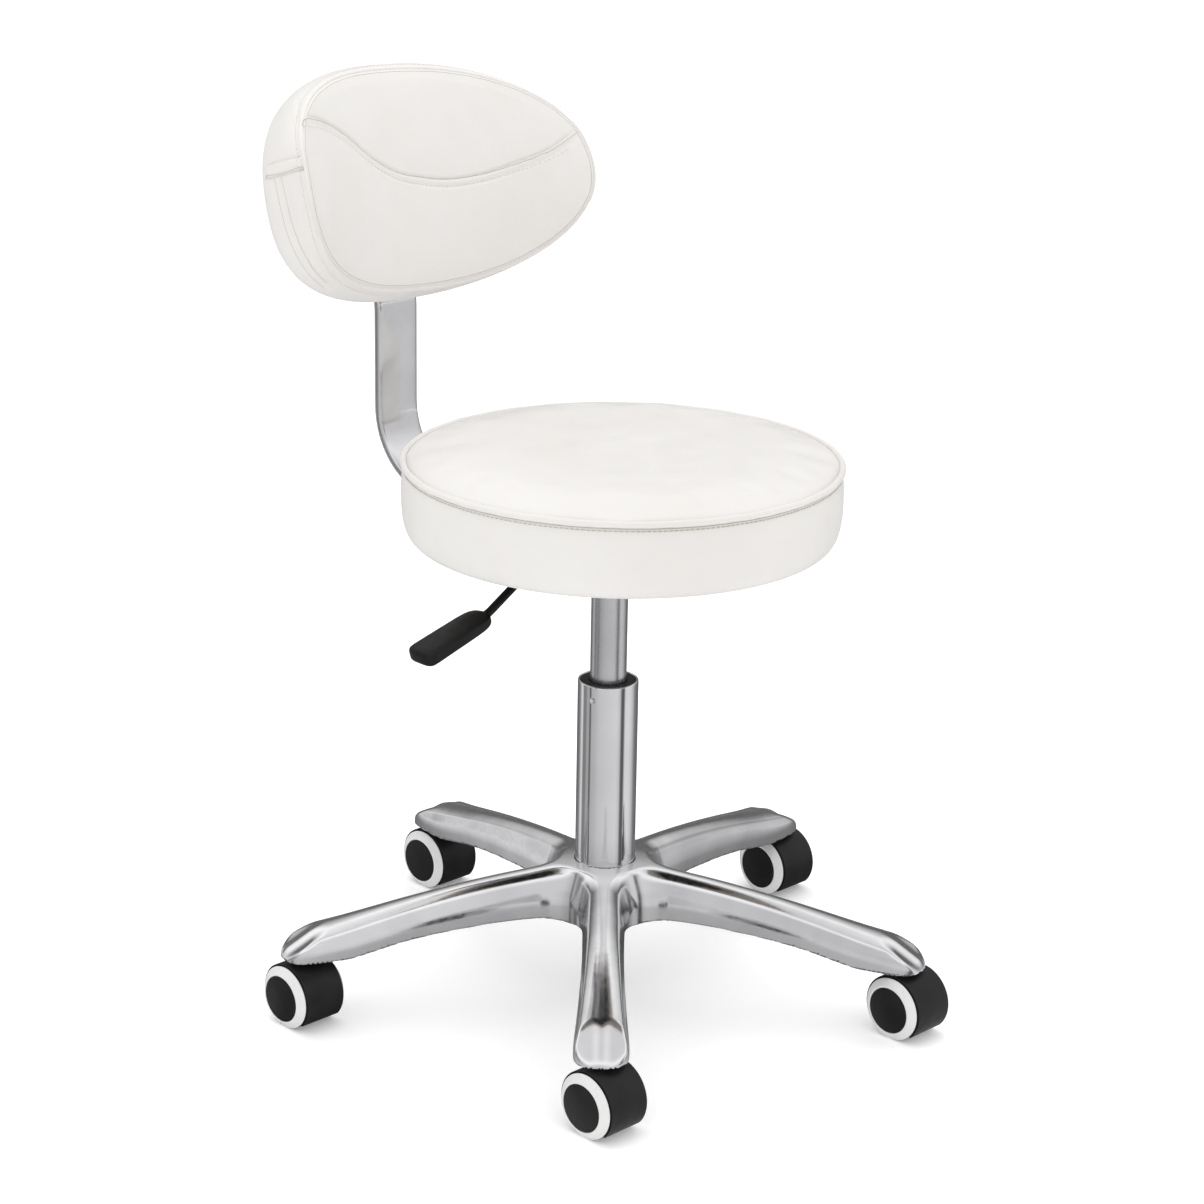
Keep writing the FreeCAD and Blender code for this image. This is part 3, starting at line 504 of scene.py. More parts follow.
def drawn_on(field, points, step=0.15):
    """Points moved onto the field's zero level, and the unit slopes there."""
    slope = np.stack([field(points + step * unit) - field(points - step * unit) for unit in np.eye(3)], 1)
    slope = slope / (2 * step)
    size = np.maximum((slope ** 2).sum(1), 0.05)
    move = (field(points) / size)[:, None] * slope
    length = np.linalg.norm(move, axis=1, keepdims=True)
    move *= np.minimum(1, 1.2 / np.maximum(length, 1e-9))
    return points - move, slope / np.sqrt(size)[:, None]


def make_star_base():
    pitch = 1.75
    points, faces, normals = field_mesh(star_field, (-280.3, -280.3, 53.1), (280.3, 280.3, 120.0), pitch)
    look = LOOKS["polished_aluminium"]
    mesh = new_mesh("star_base_casting", (points * MM).tolist(), faces.tolist(), look)
    mesh.validate()
    mesh.normals_split_custom_set_from_vertices([tuple(n) for n in normals])
    placed("star_base_casting", mesh, "base", ["star_base"])


# ---------------- column and gas lift
DIMPLE_TURNS = [math.radians(a) for a in (195, 315, 75)]
DIMPLE_HEIGHT = 0.261
DIMPLE_RADIUS = 0.0029
COLUMN_FOOT = 0.062
TUBE_TAPER = (0.02432, 0.025, 0.0535)       # radius at the foot, radius of the tube, height of the taper


def column_turns():
    """Directions round the column, close together where the dimples are."""
    turns = set(round(2 * math.pi * step / 120, 6) for step in range(120))
    for centre in DIMPLE_TURNS:
        turns |= {round((centre + offset * 0.011) % (2 * math.pi), 6) for offset in range(-11, 12)}
    return sorted(turns)


def make_column():
    turns = column_turns()
    heights = [0.0655, 0.115, 0.1155, 0.118, 0.160, 0.205, 0.245, 0.256]
    heights += [0.2575 + 0.0003 * step for step in range(24)] + [0.266, 0.2708]
    narrow, wide, taper = TUBE_TAPER
    outline = [(0.0051, COLUMN_FOOT), (0.0225, COLUMN_FOOT), (0.0241, 0.0624), (narrow, 0.0635)]
    outline += [(narrow + (wide - narrow) * min(1.0, (h - COLUMN_FOOT) / taper), h) for h in heights]
    outline += [(wide, 0.2716), (0.02494, 0.2722), (0.02472, 0.2727), (0.0243, 0.27295), (0.0238, 0.273),
                (0.0232, 0.2729), (0.023, 0.2726), (0.023, 0.272), (0.023, 0.240), (0.023, 0.067),
                (0.0226, 0.066), (0.0051, 0.066)]
    points = []
    for radius, height in outline:
        for turn in turns:
            near = min(abs((turn - c + math.pi) % (2 * math.pi) - math.pi) for c in DIMPLE_TURNS) * radius
            away = min(1.0, math.hypot(near, height - DIMPLE_HEIGHT) / DIMPLE_RADIUS)
            dent = 0.00105 * (0.5 + 0.5 * math.cos(math.pi * away)) ** 0.8 if radius > 0.0245 else 0.0
            points.append(around(radius - dent, turn, height))
    faces = ring_faces(rows_of(len(outline), len(turns)), closed=True)
    piece("column_outer_tube", points, faces, "base", "chrome", ["column_tube"])
    guide = [(0.0151, 0.213), (0.02298, 0.213), (0.02298, 0.27235), (0.0168, 0.2727), (0.0151, 0.2718)]
    points, faces = turned(softened(guide, 0.0005), True)
    piece("column_bush", points, faces, "base", "black_plastic", ["column_guide"])


def make_gas_cylinder():
    outline = [(0.0131, 0.1502), (0.015, 0.1502), (0.015, 0.351), (0.0136, 0.379), (0.0031, 0.379),
               (0.0031, 0.343), (0.013, 0.343)]
    points, faces = turned(softened(outline, 0.0006), True)
    piece("gas_cylinder_tube", points, faces, "seat", "brushed_chrome", ["gas_cylinder"])


# ---------------- casters
WHEEL_RIM = [(0.0031, 0.0086), (0.0258, 0.0086), (0.0265, 0.0094), (0.0265, 0.0193), (0.0194, 0.0193),
             (0.0192, 0.0247), (0.0183, 0.02525)]       # distance from the axle, distance along it
WHEEL_FACE = [(0.0, 0.02565), (0.0, 0.0238), (0.0031, 0.0238), (0.0031, 0.0086)]
COVER_RING = [(0.01935, 0.0195), (0.0264, 0.0195), (0.0263, 0.0202), (0.0207, 0.0247), (0.01935, 0.0247)]
HOOD = [(0.028, -0.0188), (0.028, 0.0188), (0.0269, 0.0188), (0.0269, 0.008), (0.0031, 0.008),
        (0.0031, -0.008), (0.0269, -0.008), (0.0269, -0.0188)]


def axle_mesh(name, outline, closed, steps, slot, side=1, cut_at=None):
    """An outline turned about the axle, which lies along +X, or along -X where side is -1."""
    points, faces = turned(outline, closed, steps)
    lying = [(side * z, y, side * -x) for x, y, z in points]
    return new_mesh("caster_" + name, lying, faces, LOOKS[slot], True, cut_at)


def make_casters():
    """Five casters that share their meshes, each made about the middle of the axle."""
    rim, cover = softened(WHEEL_RIM, 0.0004, closed=False) + WHEEL_FACE, softened(COVER_RING, 0.0006)
    shapes = {}
    for side, sign in (("left", -1), ("right", 1)):
        shapes["wheel", side] = axle_mesh(f"wheel_{side}", rim, False, 112, "caster_black", sign)
        shapes["ring", side] = axle_mesh(f"ring_{side}", cover, True, 112, "ring_white", sign)
    hood = axle_mesh("hood", softened(HOOD, 0.00045), True, 128, "caster_black", 1, HOOD_FOOT - WHEEL_RADIUS)
    hood.set_sharp_from_angle(angle=math.radians(50))
    for number in range(1, ARMS + 1):
        at = around(STEM_CIRCLE, FIRST_ARM + ARM_STEP * (number - 1), WHEEL_RADIUS) - Vector((0, TRAIL, 0))
        placed(f"caster_{number}_hood", hood, f"caster_{number}", [f"hood_{number}"], at)
        for side in ("left", "right"):
            for kind, slot in (("wheel", "caster_black"), ("ring", "ring_white")):
                placed(f"caster_{number}_{kind}_{side}", shapes[kind, side], f"wheel_{number}_{side}_body",
                       [f"{kind}_{number}_{side}"], at)


# ---------------- lever and back bar
LEVER_PATH = [Vector(p) * MM for p in ((8, 0, 387.4), (-46, 0, 387.4), (-104, 0, 377.5), (-134, 0, 359.5),
                                       (-166, 0, 350.5))]
SLEEVE_PLACE = Vector((-0.045, 0.0, 0.3875))
GRIP_HALF = (0.0365, 0.0139, 0.0068)        # half length, half width, half thickness


def make_lever():
    rod = swept(bent(LEVER_PATH, 0.024), circle(0.0034, 20), sideways=(0, 1, 0))
    sleeve = [(0.00306, -0.019), (0.006, -0.019), (0.006, 0.019), (0.00306, 0.019)]
    upright, sides = turned(softened(sleeve, 0.0004), True, 40)
    points, faces = joined([rod, ([SLEEVE_PLACE + Vector((x, z, y)) for x, y, z in upright], sides)])
    piece("lever_bent_rod", points, faces, "lever", "black_steel", ["lever_rod"])
    ahead, across = (LEVER_PATH[-1] - LEVER_PATH[-2]).normalized(), Vector((0, 1, 0))
    out = ahead.cross(across)
    middle = LEVER_PATH[-1] + ahead * 0.0065
    length, width, depth = GRIP_HALF
    rows, power = 40, 4.2
    points = []
    for row in range(rows + 1):
        t = -1 + 2 * row / rows
        along = math.copysign(1 - (1 - abs(t)) ** 1.6, t)
        pull = max(0.0, 1 - abs(along) ** (16 if along > 0 else 6)) ** 0.5
        wide = width * (0.97 + 0.04 * along) * (0.30 + 0.70 * pull)
        thick = depth * (0.96 + 0.07 * along) * (0.26 + 0.74 * pull)
        for c, s in circle(1.0, 48):
            square = (abs(c) ** power + abs(s) ** power) ** (-1 / power)
            ridge = 0.0007 * math.exp(-((c * square) / 0.5) ** 2) * (s < 0)
            points.append(middle + ahead * length * along + across * wide * c * square
                          + out * (thick * s * square - ridge))
    faces = ring_faces(rows_of(rows + 1, 48), capped=True)
    piece("lever_paddle_grip", points, faces, "lever", "black_plastic", ["lever_grip"])


def make_back_bar():
    half_width, half_depth, corner, crown = 0.022, 0.004, 0.0029, 0.0003
    path = [(0, 0.030, 0.3925), (0, 0.264, 0.3925), (0, 0.264, 0.5454), (0, 0.30218, 0.6703)]
    first = bent(path[:3], 0.062, 20)
    line = first[:-1] + bent([first[-2], path[2], path[3]], 0.064, 10)[1:]
    profile = []
    for x_side, y_side, start in ((1, 1, 0), (-1, 1, 90), (-1, -1, 180), (1, -1, 270)):
        for step in range(9):
            turn = math.radians(start + 90 * step / 8)
            profile.append((x_side * (half_width - corner) + corner * math.cos(turn),
                            y_side * (half_depth - crown - corner) + corner * math.sin(turn)))
        if start in (0, 180):
            profile.extend((y_side * across, y_side * (half_depth - crown * (across / 0.0197) ** 2))
                           for across in (0.0190, 0.0160, 0.0100, 0.0040, -0.0040, -0.0100, -0.0160, -0.0190))
    points, faces = swept(line, profile, sideways=(1, 0, 0))
    piece("back_bar_flat", points, faces, "seat", "chrome", ["back_bar"], LOOKS["bar_chrome"])


# ---------------- padded pieces
def face_grid(count):
    """A square grid of points pressed into the unit disc, and the place of its rim in order."""
    line = np.linspace(-1, 1, count + 1)
    x, y = np.meshgrid(line, line, indexing="ij")
    flat = np.stack([x * np.sqrt(1 - y * y / 2), y * np.sqrt(1 - x * x / 2)], -1).reshape(-1, 2)
    index = np.arange((count + 1) ** 2).reshape(count + 1, count + 1)
    quads = np.stack([index[:-1, :-1], index[1:, :-1], index[1:, 1:], index[:-1, 1:]], -1).reshape(-1, 4)
    rim = np.concatenate([index[:-1, 0], index[-1, :-1], index[:0:-1, -1], index[0, :0:-1]])
    return flat, quads.tolist(), rim


def shell_of(count, face_point, rows, row_point):
    """A closed form: a crowned face, then rows that go round the side and close over the back."""
    flat, faces, rim = face_grid(count)
    points = [face_point(u, v) for u, v in flat]
    turns = np.arctan2(flat[rim, 1], flat[rim, 0])
    ring = list(rim)
    for row in range(1, rows + 1):
        above = list(range(len(points), len(points) + len(rim)))
        points.extend(row_point(turn, row) for turn in turns)
        for step in range(len(rim)):
            following = (step + 1) % len(rim)
            faces.append([ring[step], above[step], above[following], ring[following]])
        ring = above
    points.append(np.mean([points[c] for c in ring], axis=0))
    for step in range(len(rim)):
        faces.append([ring[step], len(points) - 1, ring[(step + 1) % len(rim)]])
    return np.array(points), faces, len(flat), rim


def soft_form(points, faces):
    mesh = bpy.data.meshes.new("soft_form")
    mesh.from_pydata([tuple(p) for p in points], [], faces)
    return in_scene("soft_form", mesh)


def as_shown(made):
    """An object's mesh after its modifiers, and its points."""
    mesh = made.evaluated_get(bpy.context.evaluated_depsgraph_get()).data
    points = np.empty(len(mesh.vertices) * 3)
    mesh.vertices.foreach_get("co", points)
    return mesh, points.reshape(-1, 3)


def simulated(points, faces, held, cap):
    """The cover swollen by its filling: cloth under pressure, with no point moved further than cap."""
    cover = soft_form(points, faces)
    group = cover.vertex_groups.new(name="held")
    group.add([int(i) for i in np.flatnonzero(held)], 1.0, "REPLACE")
    cloth = cover.modifiers.new("cloth", "CLOTH")
    settings = cloth.settings
    settings.quality = 6
    settings.mass = 0.25
    settings.tension_stiffness = 30.0
    settings.compression_stiffness = 20.0
    settings.shear_stiffness = 12.0
    settings.bending_stiffness = 2.0
    settings.use_pressure = True
    settings.uniform_pressure_force = 3.0
    settings.vertex_group_mass = "held"
    settings.effector_weights.gravity = 0.0
    settings.air_damping = 4.0
    cloth.point_cache.frame_start, cloth.point_cache.frame_end = 1, 20
    for number in range(1, 21):
        bpy.context.scene.frame_set(number)
    moved = as_shown(cover)[1] - points
    bpy.context.scene.frame_set(1)
    bpy.data.objects.remove(cover)
    return points + moved * cap / np.maximum(np.linalg.norm(moved, axis=1, keepdims=True), cap)


def subdivided(points, faces, levels):
    """Points and faces after smooth subdivision."""
    carrier = soft_form(points, faces)
    modifier = carrier.modifiers.new("smooth", "SUBSURF")
    modifier.levels = modifier.render_levels = levels
    mesh, fine = as_shown(carrier)
    loops = np.empty(len(mesh.loops), np.int32)
    mesh.loops.foreach_get("vertex_index", loops)
    bpy.data.objects.remove(carrier)
    return fine, loops.reshape(-1, 4)


def slopes_of(points, quads):
    """Unit normals at the points of a quad mesh."""
    a, b = points[quads[:, 2]] - points[quads[:, 0]], points[quads[:, 3]] - points[quads[:, 1]]
    each = np.cross(a, b)
    total = np.zeros_like(points)
    for corner in range(4):
        np.add.at(total, quads[:, corner], each)
    return total / np.maximum(np.linalg.norm(total, axis=1, keepdims=True), 1e-12)


def line_distance(spots, line):
    """Distance of (n, 2) spots from a polyline, and the signed side: above it is positive."""
    best = np.full(len(spots), 1e9)
    side = np.zeros(len(spots))
    for start, end in zip(line, line[1:]):
        run = end - start
        t = np.clip(((spots - start) @ run) / (run @ run), 0, 1)
        gap = spots - start - t[:, None] * run
        away = np.hypot(gap[:, 0], gap[:, 1])
        nearer = away < best
        best[nearer] = away[nearer]
        side[nearer] = np.sign(run[0] * gap[nearer, 1] - run[1] * gap[nearer, 0])
    return best, side


def smooth_line(knots, count=80):
    """A smooth curve through a few knots."""
    knots = np.array(knots, float)
    table = np.column_stack([np.arange(len(knots)), knots])
    at = np.linspace(0, len(knots) - 1, count)
    return np.column_stack([eased(at, table, 1), eased(at, table, 2)])


STITCH_PITCH, STITCH_SHARE, STITCH_LIFT = 0.0042, 0.72, 0.0001
# How far the painted seam-shade cords sit below the cover.
SEAM_SHADE_DEPTH = 0.00012


def stitched(name, path, surface, radius=0.00033, look=THREAD):
    """A row of thread stitches laid on a surface along a path."""
    path = np.array(path)
    steps = np.linalg.norm(np.diff(path, axis=0), axis=1)
    along = np.concatenate([[0], np.cumsum(steps)])
    stitches = []
    for number in range(int(along[-1] / STITCH_PITCH)):
        ends = []
        for offset in (0.0, 0.5, 1.0):
            reach = (number + offset * STITCH_SHARE) * STITCH_PITCH
            spot = Vector([float(np.interp(reach, along, path[:, axis])) for axis in range(3)])
            near, normal, _, _ = surface.find_nearest(spot)
            ends.append(near + normal * (STITCH_LIFT + (radius * 0.6 if offset == 0.5 else -radius * 0.7)))
        stitches.append(swept(ends, circle(radius, 6), sideways=normal.cross(ends[2] - ends[0])))
    piece(name, *joined(stitches), "seat", "vinyl", look=look)


def seam_shade_line(name, path, surface, radius=0.0003, closed=False):
    """The thin dark line of painted shade where two panels meet: a cord lying in its groove along a path."""
    found = [surface.find_nearest(Vector(spot)) for spot in path]
    spots = [near - normal * SEAM_SHADE_DEPTH for near, normal, _, _ in found]
    piece(name, *swept(spots, circle(radius, 8), closed), "seat", "vinyl", look=SEAM_SHADE)


def mesh_surface(points, quads):
    return BVHTree.FromPolygons([tuple(p) for p in points], quads.tolist())


def cover_piece(name, points, quads, stands_for):
    return placed(name, new_mesh(name, points.tolist(), quads.tolist(), VINYL), "seat", stands_for)


def groove(away, width):
    return np.exp(-(away / width) ** 2)


# ---------------- seat cushion
SEAT_FORWARD = -0.012
SEAT_FACE = 173.6       # radius of the crowned face, mm
WELT_RADIUS, WELT_HEIGHT, WELT_THICK = 0.1752, 0.4609, 0.0027
BOXING_SEAM = 0.4565    # height of the stitched seam under the welt
SEAT_SIDE = [(174.9, 458.4), (175.9, 455.0), (176.8, 448.0), (177.3, 438.0), (177.2, 428.0), (176.5, 418.5),
             (175.0, 410.5), (172.4, 404.0), (168.6, 400.4), (163.5, 398.9), (156.0, 398.7), (149.2, 398.8),
             (148.2, 400.2), (147.8, 406.0), (118.0, 406.0), (80.0, 406.0), (40.0, 406.0)]


def seat_place(radius, turn, height):
    return (radius * math.cos(turn), SEAT_FORWARD + radius * math.sin(turn), height)


def seat_top(u, v):
    crown = 461.0 + 11.5 * max(0.0, 1 - math.hypot(u, v) ** 5) ** 0.44
    return (SEAT_FACE * MM * u, SEAT_FORWARD + SEAT_FACE * MM * v, crown * MM)


def seat_side(turn, row):
    radius, height = SEAT_SIDE[row - 1]
    return seat_place(radius * MM, turn, height * MM)


def make_seat_cushion():
    points, faces, face_count, rim = shell_of(44, seat_top, len(SEAT_SIDE), seat_side)
    held = np.ones(len(points), bool)
    held[:face_count] = False
    held[rim] = True
    held[face_count + len(rim):face_count + 8 * len(rim)] = False
    swollen = simulated(points, faces, held, 0.0016)
    fine, quads = subdivided(swollen, faces, 2)
    normals = slopes_of(fine, quads)
    if normals[np.argmax(fine[:, 2])][2] < 0:
        normals, quads = -normals, quads[:, ::-1]
    radius = np.hypot(fine[:, 0], fine[:, 1] - SEAT_FORWARD)
    seam_away = np.hypot(radius - 0.1745, fine[:, 2] - 0.4600)
    stitch_away = np.abs(fine[:, 2] - BOXING_SEAM) + np.where(radius < 0.172, 0.02, 0.0)
    turn = np.arctan2(fine[:, 1] - SEAT_FORWARD, fine[:, 0])
    pucker = 0.5 + 0.5 * np.sin(turn * 262)
    gentle = np.sin(turn * 7 + 0.6) * np.sin(turn * 3 + 1.9) * groove(fine[:, 2] - 0.432, 0.018)
    shift = (-0.0009 * groove(seam_away, 0.0026) - 0.00045 * groove(stitch_away, 0.0013) * (0.7 + 0.5 * pucker)
             + 0.00025 * gentle * (radius > 0.165))
    fine = fine + normals * shift[:, None]
    cover = cover_piece("seat_cushion", fine, quads, ["seat_cover", "seat_foam"])
    surface = mesh_surface(fine, quads)
    steps = 352
    turns = [2 * math.pi * step / steps for step in range(steps)]
    ring = [seat_place(0.177, turn, BOXING_SEAM) for turn in turns]
    # The boxing stitches take the painted seam-shade tone, not the thread's colour, so they read as the shaded
    # stitch line.
    stitched("seat_boxing_stitches", ring + ring[:1], surface, look=SEAM_SHADE)
    # A cord of painted shade in the seam just under the boxing stitches.
    under = [seat_place(0.177 * 0.995, turn, 0.4579) for turn in turns]
    seam_shade_line("seat_boxing_seam_shade", under, surface, 0.00028, True)
    welt = [seat_place(WELT_RADIUS, turn,
                       WELT_HEIGHT + 0.00012 * math.sin(turn * 23 + 0.8) + 0.00008 * math.sin(turn * 57))
            for turn in turns]
    points, faces = swept(welt, circle(WELT_THICK, 20), closed=True)
    piece("seat_welt_piping", points, faces, "seat", "vinyl", ["seat_piping"])


# ---------------- back pad
PAD_LEAN = math.radians(17)
PAD_FOOT = Vector((0.0, 0.28807, 0.6385))
PAD_CURVE = 0.252
PAD_HALF = (153.0, 91.5)        # half width and half height of the face inside its seam, mm
PAD_THICK = 39.0
PAD_WINGS = 9.0
PAD_FACE_TILT = math.radians(-3.2)
PAD_SIDE = [(39.0, 1.0, 0.00), (37.2, 2.3, 0.05), (34.0, 4.0, 0.15), (29.0, 5.8, 0.35), (23.0, 7.0, 0.6),
            (17.0, 7.0, 0.8), (11.0, 6.0, 0.95), (6.0, 4.2, 1.0), (2.4, 1.4, 1.0), (0.5, -3.2, 1.0),
            (0.0, -11.0, 1.0)]      # depth from the back and growth beyond the face seam, mm; share upright
PAD_BACK = (0.80, 0.60, 0.40, 0.22, 0.07)       # shares of that last outline that close the back
SMILE_SEAM = [(-148, 62), (-120, 59), (-96, 54.5), (-69, 42), (-42, 21), (-15, 6), (11, -1.5), (37, -6.5),
              (68, -7), (97, -3), (124, 3), (137, 9.5), (150, 17.5)]        # across and up, mm
TUCK_DROP = 6.2                 # the stitched tuck runs this far below the smile seam
BAND_EDGES = (17.5, 25.5)       # heights of the band round the pad's left side
LOW_SIDE_SEAMS = ([(14, 16), (15, -4), (16, -32), (18, -56), (20, -78)],        # depth and height, mm
                  [(20, 16), (21, -5), (22, -32), (24, -56), (26, -76)])
HIGH_SIDE_SEAM = [(33, 26), (34, 40), (34, 55), (30, 70), (24, 84)]


def pad_outline(turn, half=PAD_HALF, upright=0.0):
    """Across and up in mm on an outline of that half width and height; upright takes away the tilt."""
    across, up = half
    tilt = PAD_FACE_TILT * (1 - upright)
    c, s = math.cos(turn), math.sin(turn)
    size = (abs(c) ** 2.3 + abs(s) ** 2.3) ** (-1 / 2.3)
    x = across * c * size * (1 - 0.08 * s * size)
    z = up * s * size
    return x * math.cos(tilt) - z * math.sin(tilt), x * math.sin(tilt) + z * math.cos(tilt)


def pad_loop(count, half=PAD_HALF, upright=0.0):
    """The outline all round, its first place again at the end."""
    return np.array([pad_outline(2 * math.pi * s / count, half, upright) for s in range(count + 1)])


def pad_spot(x, z, depth):
    """A place on the curved pad: across, up, and depth from the back, mm. The back is the flatter."""
    depth -= PAD_WINGS * max(0.0, 1 - depth / PAD_THICK) * min(1.0, abs(x) / 150.0) ** 2
    curve = PAD_CURVE - depth * MM
    return (x * MM, -PAD_CURVE + math.sqrt(curve ** 2 - (x * MM) ** 2), z * MM)


def pad_face(u, v):
    rho = math.hypot(u, v)
    x, z = pad_outline(math.atan2(v, u), [size * rho for size in PAD_HALF])
    return pad_spot(x, z, 39.6 + 7.6 * (1 - rho ** 2.8))


def pad_side(turn, row):
    depth, growth, upright = PAD_SIDE[min(row, len(PAD_SIDE)) - 1]
    share = PAD_BACK[row - len(PAD_SIDE) - 1] if row > len(PAD_SIDE) else 1.0
    return pad_spot(*pad_outline(turn, [(size + growth) * share for size in PAD_HALF], upright), depth)


def pad_side_spot(depth, height):
    """A place on the pad's left side, roughly, from depth and height in mm."""
    up = min(0.98, abs(height) / 98.0)
    reach = 160.0 * (1 - 0.08 * height / 98.0) * (1 - up ** 2.3) ** (1 / 2.3) + 0.5
    return pad_spot(-reach, height, depth)


def pad_flat(points):
    """Pad-local points back to across and up in mm, and depth in mm."""
    x, y, z = points.T
    return x / MM, z / MM, (PAD_CURVE - np.hypot(x, y + PAD_CURVE)) / MM


def in_place(points):
    turn = Matrix.Rotation(-PAD_LEAN, 3, "X")
    return points @ np.array(turn).T + np.array(PAD_FOOT)


def rise(gap, width):
    """A smooth step from 0 to 1 where gap goes through 0."""
    return 1 / (1 + np.exp(-gap / width))


def pad_relief(fine, normals, seam, tuck):
    """How far each point of the pad's cover stands out or in for seams, tucks and the band, in metres."""
    x, z, depth = pad_flat(fine)
    flat, boxed = np.column_stack([x, z]), np.column_stack([depth, z])
    edge_away, _ = line_distance(flat, pad_loop(240))
    front = (depth > 36.5) & (normals[:, 1] < -0.15)
    upper, side = line_distance(flat, seam)
    lower, _ = line_distance(flat, tuck)
    shift = np.where(front, 1.0, 0.0) * (
        -0.0014 * groove(upper, 1.2) - 0.0006 * groove(lower, 1.9)
        + 0.0011 * (1 - np.exp(-upper / 14.0)) * (side > 0) + 0.0009 * (1 - np.exp(-lower / 14.0)) * (side < 0)
        + 0.00025 * groove(lower - 3.1, 2.0) * (side < 0))
    shift *= np.where(front, np.clip(edge_away / 10.0, 0, 1), 1.0)
    from_edge = np.hypot(edge_away, depth - 39.5)
    shift += -0.0013 * groove(from_edge, 1.3) + 0.0010 * groove(from_edge - 3.2, 1.6) * (depth > 33) * ~front
    left = (depth > 1.5) & (depth < 37.5) & ~front & (x < -110)
    low, high = BAND_EDGES
    shift += left * 0.0018 * rise(z - low, 0.45) * rise(high - z, 0.45)
    shift += left * -0.0009 * (1.5 * groove(z - low + 0.9, 1.2) + groove(z - high - 0.9, 1.2))
    for knots in LOW_SIDE_SEAMS:
        gap, _ = line_distance(boxed, smooth_line(knots))
        shift += (left & (z < low)) * -0.0008 * groove(gap, 1.15)
    gap, _ = line_distance(boxed, smooth_line(HIGH_SIDE_SEAM))
    return shift + (left & (z > high)) * -0.0006 * groove(gap, 1.1)


def make_back_pad():
    points, faces, face_count, rim = shell_of(50, pad_face, len(PAD_SIDE) + len(PAD_BACK), pad_side)
    held = np.zeros(len(points), bool)
    held[rim] = True
    held[face_count + 7 * len(rim):] = True
    x, z, _ = pad_flat(points)
    seam = smooth_line(SMILE_SEAM)
    tuck = seam - (0.0, TUCK_DROP)
    away, _ = line_distance(np.column_stack([x[:face_count], z[:face_count]]), seam)
    held[:face_count] |= away < 2.2
    swollen = simulated(points, faces, held, 0.0018)
    fine, quads = subdivided(swollen, faces, 2)
    normals = slopes_of(fine, quads)
    if normals[np.argmin(fine[:, 1] + abs(fine[:, 0]))][1] > 0:
        normals, quads = -normals, quads[:, ::-1]
    fine = fine + normals * pad_relief(fine, normals, seam, tuck)[:, None]
    cover = cover_piece("back_pad_cushion", in_place(fine), quads, ["back_cover", "back_foam"])
    local, surface = mesh_surface(fine, quads), mesh_surface(in_place(fine), quads)

    def on_pad(spots):
        """Spots moved onto the pad's cover, in the stool's place."""
        return in_place(np.array([local.find_nearest(Vector(spot))[0] for spot in spots]))

    stitched("pad_smile_stitches", on_pad([pad_spot(a, b, 47.5) for a, b in tuck if abs(a) < 138]), surface)
    inner = pad_loop(240, (151.0, 89.6))
    apart, _ = line_distance(seam, inner)
    inside = seam[(apart > 0.4) & (seam[:, 0] > -137) & (seam[:, 0] < 147)]
    # Cords of painted shade in the smile seam and the face seam.
    seam_shade_line("pad_smile_seam_shade", on_pad([pad_spot(a, b, 46.5) for a, b in inside]), surface, 0.0004)
    seam_shade_line("pad_face_seam_shade", on_pad([pad_spot(a, b, 41.5) for a, b in inner[:-1]]), surface, closed=True)
    edge = pad_loop(320, (158.2, 96.7), 0.2)
    stitched("pad_edge_stitches", on_pad([pad_spot(a, b, 33.4) for a, b in edge]), surface, 0.00026)
    # Cords of painted shade in the band seam and the side seams.
    side_lines = {"pad_band_seam_shade": [(depth, BAND_EDGES[0] - 0.7) for depth in range(3, 37)]}
    for number, knots in enumerate(LOW_SIDE_SEAMS, 1):
        side_lines[f"pad_side_seam_{number}"] = smooth_line(knots, 40).tolist()
    for name, line in side_lines.items():
        seam_shade_line(name, on_pad([pad_side_spot(depth, height) for depth, height in line]), surface)


# ---------------- floor, light and camera
def make_floor():
    tree, at = tree_of("studio_floor")
    look = tree.material({
        "Base Color": tree.tinted(tree.noise(at, 1.4), (0.925, 0.925, 0.925), (0.945, 0.945, 0.945)),
        "Roughness": tree.ranged(tree.noise(at, 6.0), 0.72, 0.82), "Specular IOR Level": 0.0,
        "Emission Color": (1.0, 1.0, 1.0, 1), "Emission Strength": 0.2})
    points, faces = turned([(radius, 0.0) for radius in (16.0, 4.0, 1.5, 0.6, 0.0)], False)
    floor = in_scene("studio_floor", new_mesh("studio_floor", points, faces, look))


def area_light(name, at, aim, size, power):
    made = bpy.data.lights.new(name, "AREA")
    made.energy = power
    made.shape = "RECTANGLE"
    made.size, made.size_y = size
    lamp = in_scene(name, made)
    lamp.location = at
    lamp.visible_glossy = False
    lamp.rotation_euler = (Vector(aim) - Vector(at)).to_track_quat("-Z", "Y").to_euler()


SURROUNDINGS = [    # direction in degrees from +X, how bright polished metal sees the studio that way
    (-180, 0.58), (-165, 0.68), (-135, 0.74), (-100, 0.80), (-88, 0.66), (-81, 0.13), (-72, 0.13),
    (-64, 0.84), (-45, 0.84), (-30, 0.66), (-12, 0.24), (10, 0.15), (45, 0.15), (80, 0.16), (98, 0.26),
    (106, 0.55), (115, 0.88), (120, 0.60), (124, 0.27), (136, 0.26), (143, 0.46), (151, 0.44), (155, 0.16),
    (159, 0.16), (163, 0.52), (180, 0.58),
]


